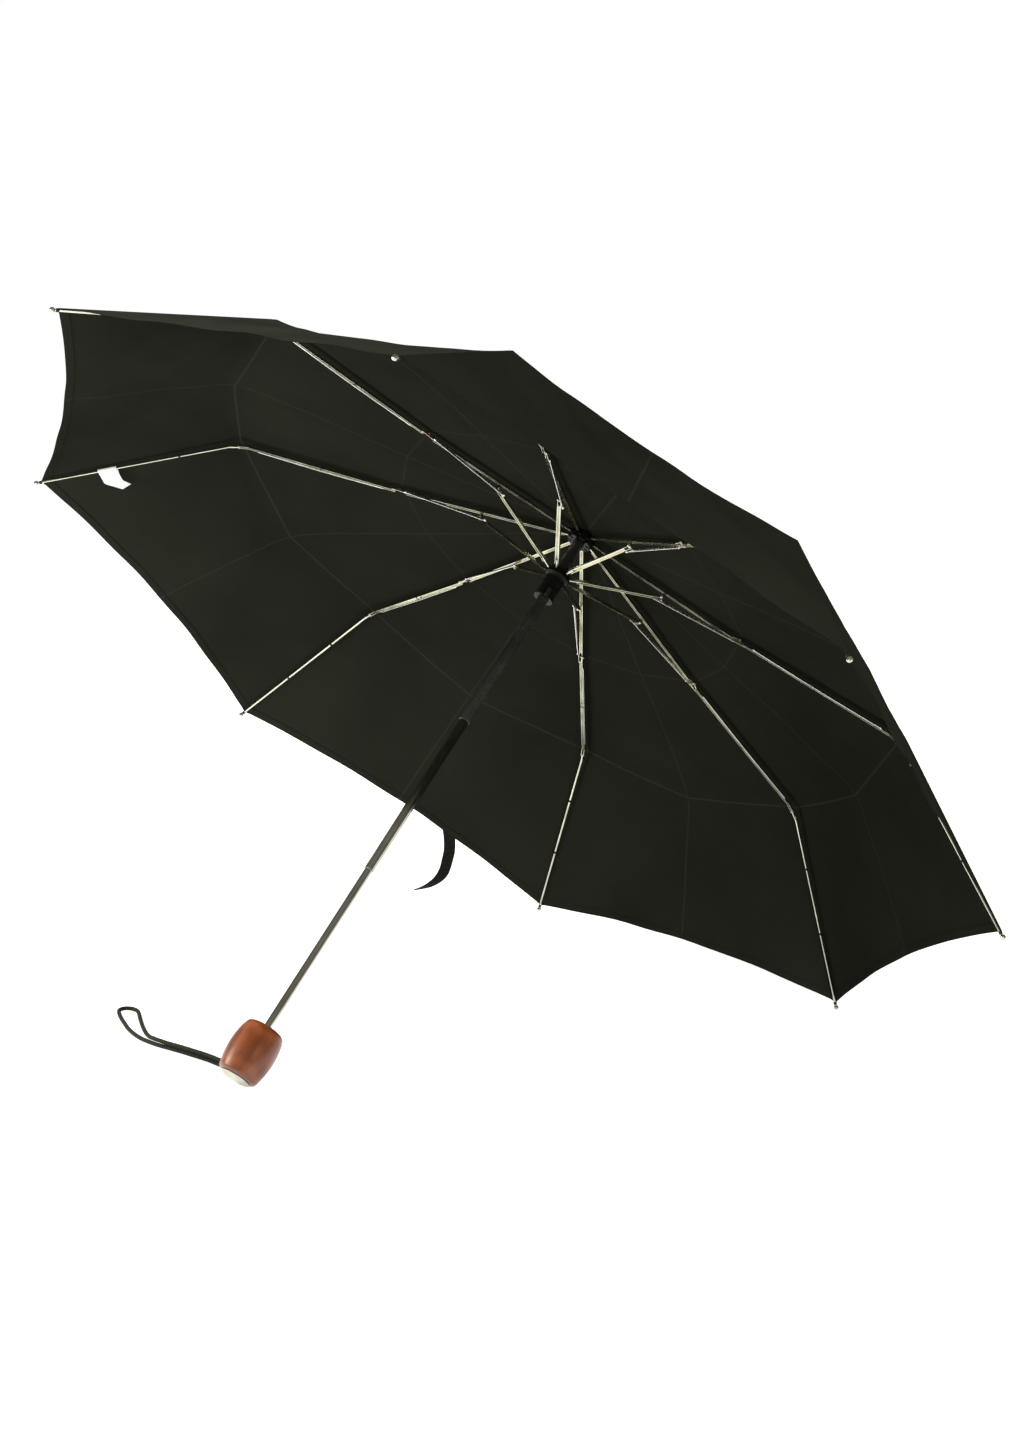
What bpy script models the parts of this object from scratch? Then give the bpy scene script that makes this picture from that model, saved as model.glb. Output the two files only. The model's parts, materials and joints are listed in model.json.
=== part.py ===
"""Three-fold compact umbrella, open and lying on the floor on its handle and on two rib tips.

The umbrella is modelled along its own shaft: local +Z runs from the handle to the top, and z = 0 is the
middle of the top notch. An empty then tips the whole umbrella over until the handle and the two lower rib
tips touch the floor. World frame: metres, +Z up, floor at z = 0, the shaft in the YZ plane.
"""
import math

import bmesh
import bpy
from mathutils import Matrix, Vector

MM = 0.001
GAP = 0.3 * MM

# Spokes
SPOKES = 8
SPOKE_STEP = math.radians(45.0)
LOWER_SPOKE = 4
HINGE_RADIUS = 9.5 * MM
NOTCH_PIVOT_Z = 3.0 * MM
TOP_RIB_SLOPE = math.radians(-10.2)
MID_RIB_SLOPE = math.radians(-8.1)
OUTER_RIB_SLOPE = math.radians(-38.85)
TOP_RIB_REACH = 168.0 * MM
MID_RIB_REACH = 164.5 * MM
OUTER_RIB_REACH = 193.9 * MM
STRETCHER_REACH = 86.8 * MM
STRETCHER_DROP = 6.0 * MM
FOLD_OFFSET = 2.0 * MM
LINK_INSET = 7.0 * MM
LEVER_REACH = 7.0 * MM
LEVER_ANGLE = math.radians(203.17)

# Sections of the rib metal
CHANNEL_WALL = 0.5 * MM
EAR_INSET = 0.03 * MM
TOP_WIDTH, TOP_HEIGHT = 3.2 * MM, 2.6 * MM
MID_WIDTH, MID_HEIGHT = 3.0 * MM, 2.4 * MM
STRETCHER_WIDTH, STRETCHER_HEIGHT = 3.6 * MM, 2.6 * MM
OUTER_ROD_RADIUS = 1.1 * MM
TIP_RADIUS = 2.4 * MM
TONGUE = 1.3 * MM
EYE_RADIUS = 1.5 * MM
EYE_HOLE = 0.8 * MM
PIN_RADIUS = 0.5 * MM
LINK_SIDE = -3.2 * MM
LINK_THICKNESS = 0.6 * MM
LEVER_SIDE = -2.35 * MM

# Shaft, runner and notch
TUBE_WALL = 0.4 * MM
UPPER_RADIUS, MIDDLE_RADIUS, LOWER_RADIUS = 4.9 * MM, 4.2 * MM, 3.5 * MM
UPPER_SPAN = (-203.0 * MM, 2.0 * MM)
MIDDLE_SPAN = (-361.0 * MM, -190.0 * MM)
LOWER_SPAN = (-556.0 * MM, -348.0 * MM)
HANDLE_TOP_Z = -520.0 * MM
HUB_RADIUS = 12.0 * MM
WIRE_RADIUS = 0.5 * MM
CATCH_AZIMUTH = math.radians(-135.0)

# Wrist cord, closing strap and label. Routes are in world millimetres.
CORD_RADIUS = 1.85 * MM
CORD_SPACING = 5.2 * MM
CORD_HOLE_RADIUS = 4.6 * MM
CORD_HOLE_TURN = math.radians(-32.0)
CORD_HOLE_FLOOR = -13.5 * MM
CORD_HOLE_Z = -557.0 * MM
CORD_ROUTE = [
    (-12.3, -251.2, 14.6), (-16.7, -249.1, 12.7), (-21.0, -247.1, 10.9), (-26.0, -245.0, 9.0),
    (-33.0, -242.9, 7.0), (-44.0, -241.4, 5.9), (-58.0, -241.9, 5.8), (-72.0, -244.3, 5.8),
    (-86.0, -247.0, 5.8), (-98.0, -249.9, 5.8), (-108.0, -251.4, 5.7), (-117.0, -250.4, 4.8),
    (-126.0, -247.2, 3.0), (-135.0, -243.0, 1.9), (-147.0, -236.4, 1.9), (-160.0, -228.0, 1.9),
    (-172.0, -219.8, 1.9), (-181.4, -213.4, 1.9), (-187.4, -211.6, 1.9), (-192.6, -213.0, 1.9),
    (-195.6, -217.8, 1.9), (-194.6, -223.4, 1.9), (-190.2, -227.8, 1.9), (-180.4, -234.2, 1.9),
    (-168.0, -240.6, 1.9), (-155.0, -247.0, 1.9), (-142.0, -251.4, 1.9), (-130.0, -253.8, 1.9),
    (-119.0, -253.8, 1.9), (-108.0, -252.4, 1.9), (-98.0, -249.9, 1.9), (-86.0, -247.0, 1.9),
    (-72.0, -244.3, 1.9), (-58.0, -241.9, 1.9), (-44.0, -241.4, 2.0), (-33.0, -242.9, 3.1),
    (-25.0, -245.6, 5.1), (-19.7, -247.7, 7.1), (-15.5, -249.7, 8.9), (-11.1, -251.8, 10.7)]
STRAP_THICKNESS = 0.8 * MM
STRAP_ROUTE = [
    ((-310.5, 232.4, 150.3), (-3.3, 0.1, -6.2)), ((-293.5, 244.4, 141.3), (-4.0, -0.6, -5.7)),
    ((-279.5, 257.1, 124.3), (-4.9, -1.2, -4.9)), ((-273.5, 268.0, 101.6), (-6.0, -2.4, -2.7)),
    ((-270.0, 275.3, 80.0), (-5.8, -2.7, -1.4)), ((-266.6, 276.1, 60.0), (-5.6, -2.8, 0.0)),
    ((-264.5, 271.5, 46.0), (-5.2, -2.8, 0.8)), ((-267.5, 270.5, 33.0), (-4.2, -3.4, 1.6)),
    ((-275.0, 269.5, 22.5), (-2.4, -4.6, 1.6)), ((-288.0, 268.5, 12.5), (-1.2, -5.0, 1.2)),
    ((-304.0, 268.0, 5.0), (-0.5, -4.6, 0.6))]
LABEL_SPOKE = 2

# Canopy
CLOTH = 0.5 * MM
INNER_LIFT = 2.7 * MM
OUTER_LIFT = 5.2 * MM
GORE_COLUMNS = 4
HEM_SCALLOP = 14.0 * MM
CLOTH_SAG = 5.0 * MM

TAU = 2.0 * math.pi


def clear_scene():
    for obj in list(bpy.data.objects):
        bpy.data.objects.remove(obj, do_unlink=True)


def new_collection(name):
    group = bpy.data.collections.new(name)
    bpy.context.scene.collection.children.link(group)
    return group


clear_scene()
PARTS = new_collection("folding_umbrella")
GUIDES = new_collection("guides")
MATERIALS = {}


# ---------------------------------------------------------------- materials and objects

def material(name, colour, roughness, metallic=0.0):
    """Return the named Principled material, made once."""
    if name not in MATERIALS:
        made = bpy.data.materials.new(name)
        made.use_nodes = True
        shader = made.node_tree.nodes["Principled BSDF"]
        shader.inputs["Base Color"].default_value = (*colour, 1.0)
        shader.inputs["Roughness"].default_value = roughness
        shader.inputs["Metallic"].default_value = metallic
        MATERIALS[name] = made
    return MATERIALS[name]


def add_part(name, mesh, finish, parent, place=Matrix()):
    """Link one node, with its own copy of the finish, under its parent empty."""
    own = finish.copy()
    own.name = f"{name}_finish"
    obj = bpy.data.objects.new(name, mesh)
    PARTS.objects.link(obj)
    obj.parent = parent
    obj.matrix_local = place
    if not mesh.materials:
        mesh.materials.append(own)
    obj.material_slots[0].link = "OBJECT"
    obj.material_slots[0].material = own
    return obj


def add_empty(name, parent=None, place=Matrix()):
    empty = bpy.data.objects.new(name, None)
    GUIDES.objects.link(empty)
    empty.parent = parent
    empty.matrix_local = place
    return empty


def mesh_from(build, name):
    """Run a bmesh-building function and return its mesh."""
    bm = bmesh.new()
    build(bm)
    bmesh.ops.recalc_face_normals(bm, faces=bm.faces)
    mesh = bpy.data.meshes.new(name)
    bm.to_mesh(mesh)
    bm.free()
    return mesh


def evaluated_mesh(obj, name):
    """Return the modified mesh of an object and remove the object."""
    graph = bpy.context.evaluated_depsgraph_get()
    mesh = bpy.data.meshes.new_from_object(obj.evaluated_get(graph))
    mesh.name = name
    bpy.data.objects.remove(obj, do_unlink=True)
    return mesh


def smooth(mesh, degrees=35.0):
    mesh.shade_smooth()
    mesh.set_sharp_from_angle(angle=math.radians(degrees))
    return mesh


# ---------------------------------------------------------------- simple shapes

def box(size, centre, turn=0.0):
    """A box turned about X, in the piece's own frame."""
    def build(bm):
        place = Matrix.Translation(centre) @ Matrix.Rotation(turn, 4, "X") @ Matrix.Diagonal((*size, 1.0))
        bmesh.ops.create_cube(bm, size=1.0, matrix=place)
    return build


def rod_x(radius, low, high, y=0.0, z=0.0, sides=8):
    """A round rod along X, such as a pin, a hole or an eye's disc."""
    def build(bm):
        place = Matrix.Translation(((low + high) / 2.0, y, z)) @ Matrix.Rotation(TAU / 4.0, 4, "Y")
        bmesh.ops.create_cone(bm, cap_ends=True, segments=sides, radius1=radius, radius2=radius,
                              depth=high - low, matrix=place)
    return build


def rod_y(radius, low, high, x=0.0, z=0.0, sides=10):
    """A round rod along Y."""
    def build(bm):
        place = Matrix.Translation((x, (low + high) / 2.0, z)) @ Matrix.Rotation(TAU / 4.0, 4, "X")
        bmesh.ops.create_cone(bm, cap_ends=True, segments=sides, radius1=radius, radius2=radius,
                              depth=high - low, matrix=place)
    return build


def ball(radius, centre, sides=10, rings=6):
    def build(bm):
        bmesh.ops.create_uvsphere(bm, u_segments=sides, v_segments=rings, radius=radius,
                                  matrix=Matrix.Translation(centre))
    return build


def bar(start, end, height, low, high, tail=0.0):
    """A flat bar in the YZ plane between two (y, z) points, from x = low to x = high."""
    run = Vector(end) - Vector(start)
    turn = math.atan2(run[1], run[0])
    middle = (Vector(start) + Vector(end)) / 2.0
    size = (high - low, run.length + tail, height)
    return box(size, ((low + high) / 2.0, middle[0], middle[1]), turn)


def from_mesh(mesh):
    """Use a finished mesh as the base of a further join."""
    def build(bm):
        bm.from_mesh(mesh)
    return build


def solid(name, adds, cuts=()):
    """Join the shapes in adds, take away the cuts and return the mesh. Booleans run in millimetres."""
    base = bpy.data.objects.new("join", mesh_from(adds[0], "join"))
    base.data.transform(Matrix.Scale(1.0 / MM, 4))
    GUIDES.objects.link(base)
    helpers = []
    steps = [(build, "UNION") for build in adds[1:]] + [(build, "DIFFERENCE") for build in cuts]
    for build, operation in steps:
        helper = bpy.data.objects.new("cutter", mesh_from(build, "cutter"))
        helper.data.transform(Matrix.Scale(1.0 / MM, 4))
        GUIDES.objects.link(helper)
        helper.hide_render = True
        helper.display_type = "WIRE"
        step = base.modifiers.new("boolean", "BOOLEAN")
        step.operation = operation
        step.solver = "EXACT"
        step.object = helper
        helpers.append(helper)
    mesh = evaluated_mesh(base, name)
    mesh.transform(Matrix.Scale(MM, 4))
    for helper in helpers:
        bpy.data.objects.remove(helper, do_unlink=True)
    return smooth(mesh)


def turned(name, profile, segments=40):
    """Spin a closed outline of (radius, z) points about Z, with no edge between two points on the axis."""
    count = len(profile)
    outline = bpy.data.meshes.new("outline")
    corners = [(r, 0.0, z) for r, z in profile]
    edges = [(i, (i + 1) % count) for i in range(count) if profile[i][0] or profile[(i + 1) % count][0]]
    outline.from_pydata(corners, edges, [])
    obj = bpy.data.objects.new("turned", outline)
    GUIDES.objects.link(obj)
    screw = obj.modifiers.new("screw", "SCREW")
    screw.axis = "Z"
    screw.steps = segments
    screw.render_steps = segments
    screw.use_merge_vertices = True
    screw.merge_threshold = 0.01 * MM
    screw.use_normal_calculate = True
    mesh = evaluated_mesh(obj, name)
    bm = bmesh.new()
    bm.from_mesh(mesh)
    bmesh.ops.remove_doubles(bm, verts=bm.verts, dist=0.01 * MM)
    bmesh.ops.recalc_face_normals(bm, faces=bm.faces)
    bm.to_mesh(mesh)
    bm.free()
    return smooth(mesh)


def ring_mesh(name, radius, thickness, z=0.0, segments=32, sides=6):
    """A wire ring about Z, as a torus."""
    bpy.ops.mesh.primitive_torus_add(major_segments=segments, minor_segments=sides,
                                     major_radius=radius, minor_radius=thickness, location=(0, 0, z))
    obj = bpy.context.object
    bpy.ops.object.transform_apply(location=True, rotation=True, scale=True)
    return smooth(evaluated_mesh(obj, name))


# ---------------------------------------------------------------- linkage geometry

def turned_point(point, angle):
    """Turn a (y, z) point by an elevation angle."""
    c, s = math.cos(angle), math.sin(angle)
    return Vector((point[0] * c - point[1] * s, point[0] * s + point[1] * c))


def linkage():
    """Pivot places in a spoke's own plane as (y, z), at rest, and each piece's slope."""
    notch = Vector((HINGE_RADIUS, NOTCH_PIVOT_Z))
    along = math.sqrt(STRETCHER_REACH ** 2 - STRETCHER_DROP ** 2)
    knee = notch + turned_point((along, -STRETCHER_DROP), TOP_RIB_SLOPE)
    runner = Vector((HINGE_RADIUS, 2.0 * knee[1] - NOTCH_PIVOT_Z))
    inner = notch + turned_point((TOP_RIB_REACH, FOLD_OFFSET), TOP_RIB_SLOPE)
    outer = inner + turned_point((MID_RIB_REACH, -2.0 * FOLD_OFFSET), MID_RIB_SLOPE)
    tip = outer + turned_point((OUTER_RIB_REACH, FOLD_OFFSET), OUTER_RIB_SLOPE)
    run = runner - knee
    stretcher_slope = math.atan2(run[1], run[0])
    link_inner = knee + run.normalized() * LINK_INSET
    link_outer = inner + turned_point((LEVER_REACH, 0.0), TOP_RIB_SLOPE + LEVER_ANGLE)
    link_run = link_outer - link_inner
    return {
        "notch": notch, "knee": knee, "runner": runner, "inner": inner, "outer": outer, "tip": tip,
        "link_inner": link_inner, "link_outer": link_outer, "stretcher_slope": stretcher_slope,
        "link_slope": math.atan2(link_run[1], link_run[0]), "link_reach": link_run.length,
        "knee_along": along,
    }


LINK = linkage()


def spoke_azimuth(number):
    """Angle of a spoke about the shaft, counted from local +Y. Spokes 4 and 5 reach the floor."""
    return (0.5 - (number - LOWER_SPOKE)) * SPOKE_STEP


def in_spoke(number, point, slope=0.0):
    """Placement of a piece whose pivot is at a (y, z) point of a spoke's plane."""
    return (Matrix.Rotation(spoke_azimuth(number), 4, "Z")
            @ Matrix.Translation((0.0, point[0], point[1]))
            @ Matrix.Rotation(slope, 4, "X"))


# ---------------------------------------------------------------- rib pieces

def channel(width, height, low, high, z=0.0):
    """Outer body and the hollow of a U channel that is open on its lower side."""
    body = box((width, high - low, height), (0.0, (low + high) / 2.0, z))
    hollow = box((width - 2.0 * CHANNEL_WALL, high - low + MM, height),
                 (0.0, (low + high) / 2.0, z - CHANNEL_WALL))
    return body, hollow


def ear_sides(width):
    """Inner and outer side of an ear, a hair inside the channel's own wall."""
    return width / 2.0 - CHANNEL_WALL + EAR_INSET, width / 2.0 - EAR_INSET


def side_plates(low, high, start, end, height, radius):
    """Two ears that carry a pin at the end point, mirrored about the rib's middle plane."""
    shapes = []
    for near, far in ((low, high), (-high, -low)):
        shapes.append(bar(start, end, height, near, far))
        shapes.append(rod_x(radius, near, far, end[0], end[1]))
    return shapes


def top_rib_mesh():
    body, hollow = channel(TOP_WIDTH, TOP_HEIGHT, 7.0 * MM, 161.0 * MM)
    half = TONGUE / 2.0
    ear_in, ear_out = ear_sides(TOP_WIDTH)
    knee = (LINK["knee_along"], -STRETCHER_DROP)
    pivot = (TOP_RIB_REACH, FOLD_OFFSET)
    adds = [body]
    cuts = [hollow]
    later = [bar((0.0, 0.0), (9.0 * MM, 0.2 * MM), 2.0 * MM, -half, half),
             rod_x(EYE_RADIUS, -half, half),
             bar((knee[0], 0.9 * MM), knee, 3.0 * MM, -half, half),
             rod_x(EYE_RADIUS, -half, half, knee[0], knee[1])]
    later += side_plates(ear_in, ear_out, (157.5 * MM, -0.1 * MM), pivot, 2.0 * MM, 1.6 * MM)
    later.append(rod_x(PIN_RADIUS, -ear_out + 0.1 * MM, ear_out - 0.1 * MM, *pivot, 6))
    rib = solid("channel", adds, cuts)
    holes = [rod_x(EYE_HOLE, -MM, MM), rod_x(EYE_HOLE, -MM, MM, *knee)]
    return solid("top_rib", [from_mesh(rib)] + later, holes)


def mid_rib_mesh():
    centre = -FOLD_OFFSET
    body, hollow = channel(MID_WIDTH, MID_HEIGHT, 4.5 * MM, 158.0 * MM, centre)
    half = TONGUE / 2.0
    ear_in, ear_out = ear_sides(MID_WIDTH)
    pivot = (MID_RIB_REACH, -2.0 * FOLD_OFFSET)
    lever_turn = LEVER_ANGLE + TOP_RIB_SLOPE - MID_RIB_SLOPE
    lever_tip = turned_point((LEVER_REACH, 0.0), lever_turn)
    lever_low, lever_high = LEVER_SIDE - 0.25 * MM, LEVER_SIDE + 0.25 * MM
    rib = solid("channel", [body], [hollow])
    later = [bar((0.0, 0.0), (7.0 * MM, centre + 0.6 * MM), 1.8 * MM, -half, half),
             rod_x(EYE_RADIUS, -half, half),
             bar((6.6 * MM, centre), lever_tip, 1.8 * MM, lever_low, lever_high, MM),
             box((1.4 * MM, 2.0 * MM, 1.6 * MM), (-1.8 * MM, 6.4 * MM, centre))]
    later += side_plates(ear_in, ear_out, (156.0 * MM, centre - 0.1 * MM), pivot, 2.0 * MM, 1.6 * MM)
    later.append(rod_x(PIN_RADIUS, -ear_out + 0.1 * MM, ear_out - 0.1 * MM, *pivot, 6))
    return solid("mid_rib", [from_mesh(rib)] + later, [rod_x(EYE_HOLE, -MM, MM)])


def outer_rib_mesh():
    half = TONGUE / 2.0
    adds = [rod_y(OUTER_ROD_RADIUS, 5.0 * MM, OUTER_RIB_REACH - MM, 0.0, FOLD_OFFSET, 8),
            bar((0.0, 0.0), (9.0 * MM, FOLD_OFFSET), 1.8 * MM, -half, half),
            rod_x(EYE_RADIUS, -half, half),
            ball(TIP_RADIUS, (0.0, OUTER_RIB_REACH, FOLD_OFFSET))]
    return solid("outer_rib", adds, [rod_x(EYE_HOLE, -MM, MM)])


def stretcher_mesh():
    """Runs from its knee pivot, at the origin, towards the runner along +Y. Its open side is local +Z."""
    body = box((STRETCHER_WIDTH, 70.0 * MM, STRETCHER_HEIGHT), (0.0, 43.0 * MM, 0.0))
    hollow = box((STRETCHER_WIDTH - 2.0 * CHANNEL_WALL, 71.0 * MM, STRETCHER_HEIGHT),
                 (0.0, 43.0 * MM, CHANNEL_WALL))
    half = TONGUE / 2.0
    ear_in, ear_out = ear_sides(STRETCHER_WIDTH)
    rib = solid("channel", [body], [hollow])
    later = side_plates(ear_in, ear_out, (9.0 * MM, 0.0), (0.0, 0.0), 2.2 * MM, 1.6 * MM)
    later.append(rod_x(PIN_RADIUS, -ear_out + 0.1 * MM, ear_out - 0.1 * MM, sides=6))
    later.append(bar((74.0 * MM, -0.2 * MM), (STRETCHER_REACH, 0.0), 2.0 * MM, -half, half))
    later.append(rod_x(EYE_RADIUS, -half, half, STRETCHER_REACH))
    rivet_end = LINK_SIDE - LINK_THICKNESS / 2.0 - GAP
    later.append(rod_x(PIN_RADIUS, rivet_end - 0.2 * MM, -ear_out + 0.2 * MM, LINK_INSET, sides=6))
    later.append(rod_x(1.1 * MM, rivet_end - 0.4 * MM, rivet_end, LINK_INSET))
    return solid("stretcher", [from_mesh(rib)] + later, [rod_x(EYE_HOLE, -MM, MM, STRETCHER_REACH)])


def link_bar_mesh():
    low, high = LINK_SIDE - LINK_THICKNESS / 2.0, LINK_SIDE + LINK_THICKNESS / 2.0
    reach = LINK["link_reach"]
    adds = [bar((0.0, 0.0), (reach, 0.0), 1.8 * MM, low, high),
            rod_x(1.6 * MM, low, high),
            rod_x(1.4 * MM, low, high, reach)]
    return solid("link_bar", adds, [rod_x(EYE_HOLE, low - MM, high + MM)])


def build_spokes(axis):
    steel = material("rib_metal", (0.62, 0.62, 0.58), 0.3, 1.0)
    meshes = {"top_rib": top_rib_mesh(), "stretcher": stretcher_mesh(), "link_bar": link_bar_mesh(),
              "mid_rib": mid_rib_mesh(), "outer_rib": outer_rib_mesh()}
    places = {"top_rib": ("notch", TOP_RIB_SLOPE), "stretcher": ("knee", LINK["stretcher_slope"]),
              "link_bar": ("link_inner", LINK["link_slope"]), "mid_rib": ("inner", MID_RIB_SLOPE),
              "outer_rib": ("outer", OUTER_RIB_SLOPE)}
    for number in range(1, SPOKES + 1):
        for kind, (point, slope) in places.items():
            place = in_spoke(number, LINK[point], slope)
            add_part(f"{kind}_{number}", meshes[kind], steel, axis, place)


# ---------------------------------------------------------------- hub, runner and shaft

def slot_cuts(inner, outer, low, high, width=2.0 * MM):
    """Eight radial slots for the rib tongues."""
    cuts = []
    for number in range(1, SPOKES + 1):
        def build(bm, number=number):
            size = (width, outer - inner, high - low)
            centre = (0.0, (outer + inner) / 2.0, (high + low) / 2.0)
            place = (Matrix.Rotation(spoke_azimuth(number), 4, "Z") @ Matrix.Translation(centre)
                     @ Matrix.Diagonal((*size, 1.0)))
            bmesh.ops.create_cube(bm, size=1.0, matrix=place)
        cuts.append(build)
    return cuts


def groove(radius, half_width, floor_z, top_z):
    """Outline steps of an annular groove that opens upward, from its inner lip to its outer lip."""
    return [(radius - half_width, top_z), (radius - half_width, floor_z),
            (radius + half_width, floor_z), (radius + half_width, top_z)]


def build_hub(axis):
    plastic = material("black_plastic", (0.012, 0.012, 0.012), 0.25)
    wire = material("ring_wire", (0.5, 0.5, 0.47), 0.35, 1.0)
    bottom, top = -2.2 * MM, 7.0 * MM
    bore = UPPER_RADIUS + GAP
    floor = NOTCH_PIVOT_Z - WIRE_RADIUS - GAP
    lip = groove(HINGE_RADIUS, WIRE_RADIUS + GAP, floor, top)
    outline = [(HUB_RADIUS - 0.6 * MM, top), (HUB_RADIUS, top - 0.6 * MM), (HUB_RADIUS, bottom + 0.6 * MM),
               (HUB_RADIUS - 0.6 * MM, bottom), (bore, bottom), (bore, 4.6 * MM), (3.4 * MM, 4.6 * MM),
               (3.4 * MM, top)] + lip
    notch = turned("notch", outline)
    notch = solid("top_notch", [from_mesh(notch)], slot_cuts(7.2 * MM, 14.0 * MM, bottom - MM, top + MM))
    add_part("top_notch", notch, plastic, axis)
    ring = ring_mesh("notch_ring", HINGE_RADIUS, WIRE_RADIUS, NOTCH_PIVOT_Z)
    add_part("notch_ring", ring, wire, axis)
    cap_top = 19.0 * MM
    cap = turned("top_cap", [(0.0, cap_top), (2.6 * MM, cap_top - 0.3 * MM), (4.2 * MM, cap_top - 1.6 * MM),
                             (5.0 * MM, cap_top - 4.0 * MM), (5.6 * MM, 11.6 * MM), (9.6 * MM, 9.6 * MM),
                             (10.0 * MM, 8.4 * MM), (3.0 * MM, 8.4 * MM), (3.0 * MM, 5.2 * MM),
                             (0.0, 5.2 * MM)], 40)
    add_part("top_cap", cap, plastic, axis)


def build_runner(axis):
    plastic = material("black_plastic", (0.012, 0.012, 0.012), 0.25)
    wire = material("ring_wire", (0.5, 0.5, 0.47), 0.35, 1.0)
    pivot = LINK["runner"][1]
    bore = UPPER_RADIUS + 0.4 * MM
    top = pivot + 2.4 * MM
    floor = pivot - WIRE_RADIUS - GAP
    bottom = pivot - 27.0 * MM
    lip = groove(HINGE_RADIUS, WIRE_RADIUS + GAP, floor, top)
    sleeve = 8.8 * MM
    rim = 9.8 * MM
    outline = [(HUB_RADIUS, top), (HUB_RADIUS + 0.2 * MM, pivot - 2.6 * MM),
               (HUB_RADIUS - 0.8 * MM, pivot - 3.6 * MM), (sleeve + 0.4 * MM, pivot - 4.6 * MM),
               (sleeve, pivot - 6.0 * MM), (sleeve, bottom + 3.6 * MM), (rim, bottom + 2.6 * MM),
               (rim, bottom + 0.5 * MM), (rim - 0.5 * MM, bottom), (bore, bottom), (bore, top)] + lip
    pocket_low, pocket_high = bottom - MM, bottom + 9.4 * MM
    cuts = slot_cuts(7.2 * MM, 14.0 * MM, pivot - 2.0 * MM, top + MM)

    def pocket(bm):
        size = (4.6 * MM, 6.0 * MM, pocket_high - pocket_low)
        centre = (0.0, 6.4 * MM + size[1] / 2.0, (pocket_low + pocket_high) / 2.0)
        place = (Matrix.Rotation(CATCH_AZIMUTH, 4, "Z") @ Matrix.Translation(centre)
                 @ Matrix.Diagonal((*size, 1.0)))
        bmesh.ops.create_cube(bm, size=1.0, matrix=place)

    body = solid("runner", [from_mesh(turned("runner_body", outline))], cuts + [pocket])
    add_part("runner", body, plastic, axis)
    add_part("runner_ring", ring_mesh("runner_ring", HINGE_RADIUS, WIRE_RADIUS, pivot), wire, axis)
    leaf = material("catch_metal", (0.7, 0.7, 0.68), 0.22, 1.0)
    turn = Matrix.Rotation(CATCH_AZIMUTH, 4, "Z")
    low, high = bottom + 0.6 * MM, bottom + 8.6 * MM
    body = box((3.6 * MM, 2.4 * MM, high - low), (0.0, 8.9 * MM, 0.0))
    slope = box((5.0 * MM, 2.0 * MM, 9.0 * MM), (0.0, 11.4 * MM, 3.4 * MM), math.radians(24.0))
    catch = solid("runner_catch", [body], [slope])
    add_part("runner_catch", catch, leaf, axis, turn @ Matrix.Translation((0, 0, (low + high) / 2.0)))


def tube_mesh(name, radius, span):
    low, high = span
    inner = radius - TUBE_WALL
    chamfer = 0.12 * MM
    return turned(name, [(radius - chamfer, high), (radius, high - chamfer), (radius, low + chamfer),
                         (radius - chamfer, low), (inner, low), (inner, high)], 32)


def catch_window(radius, span, half_width, azimuth):
    """A slot through one wall of a tube."""
    def build(bm):
        size = (2.0 * half_width, 2.4 * MM, span[1] - span[0])
        centre = (0.0, radius, (span[0] + span[1]) / 2.0)
        turn = Matrix.Rotation(azimuth, 4, "Z")
        place = turn @ Matrix.Translation(centre) @ Matrix.Diagonal((*size, 1.0))
        bmesh.ops.create_cube(bm, size=1.0, matrix=place)
    return build


def tube_catch_mesh(name, radius, length):
    """A thin curved leaf that fills a tube's window, flush with its wall."""
    inner = radius - TUBE_WALL

    def build(bm):
        count = 5
        half = 0.85 * MM / radius
        rings = []
        for z in (-length / 2.0, length / 2.0):
            row = []
            for r in (inner, radius):
                for i in range(count):
                    angle = -half + 2.0 * half * i / (count - 1)
                    row.append(bm.verts.new((r * math.sin(angle), r * math.cos(angle), z)))
            rings.append(row)
        low, high = rings
        outline = list(range(count)) + [2 * count - 1 - i for i in range(count)]
        bm.faces.new([low[i] for i in outline])
        bm.faces.new([high[i] for i in reversed(outline)])
        for i in range(len(outline)):
            a, b = outline[i], outline[(i + 1) % len(outline)]
            bm.faces.new([low[b], low[a], high[a], high[b]])
    return mesh_from(build, name)


def build_shaft(axis):
    chrome = material("shaft_chrome", (0.66, 0.65, 0.6), 0.18, 1.0)
    leaf = material("catch_metal", (0.7, 0.7, 0.68), 0.22, 1.0)
    upper_catch = (-198.0 * MM, -184.0 * MM)
    middle_catch = (-357.0 * MM, -341.0 * MM)
    azimuth = CATCH_AZIMUTH + math.radians(180.0)
    seen_azimuth = math.radians(170.0)
    upper = solid("upper_tube", [from_mesh(tube_mesh("upper", UPPER_RADIUS, UPPER_SPAN))],
                  [catch_window(UPPER_RADIUS, upper_catch, 1.15 * MM, azimuth)])
    middle = solid("middle_tube", [from_mesh(tube_mesh("middle", MIDDLE_RADIUS, MIDDLE_SPAN))],
                   [catch_window(MIDDLE_RADIUS, middle_catch, 1.15 * MM, seen_azimuth)])
    add_part("upper_tube", upper, chrome, axis)
    add_part("middle_tube", middle, chrome, axis)
    add_part("lower_tube", tube_mesh("lower_tube", LOWER_RADIUS, LOWER_SPAN), chrome, axis)
    for name, radius, span, turn in (("upper_tube_catch", UPPER_RADIUS, upper_catch, azimuth),
                                     ("middle_tube_catch", MIDDLE_RADIUS, middle_catch, seen_azimuth)):
        leaf_mesh = tube_catch_mesh(name, radius, span[1] - span[0] - 2.0 * GAP)
        place = Matrix.Rotation(turn, 4, "Z") @ Matrix.Translation((0.0, 0.0, (span[0] + span[1]) / 2.0))
        add_part(name, leaf_mesh, leaf, axis, place)


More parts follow.
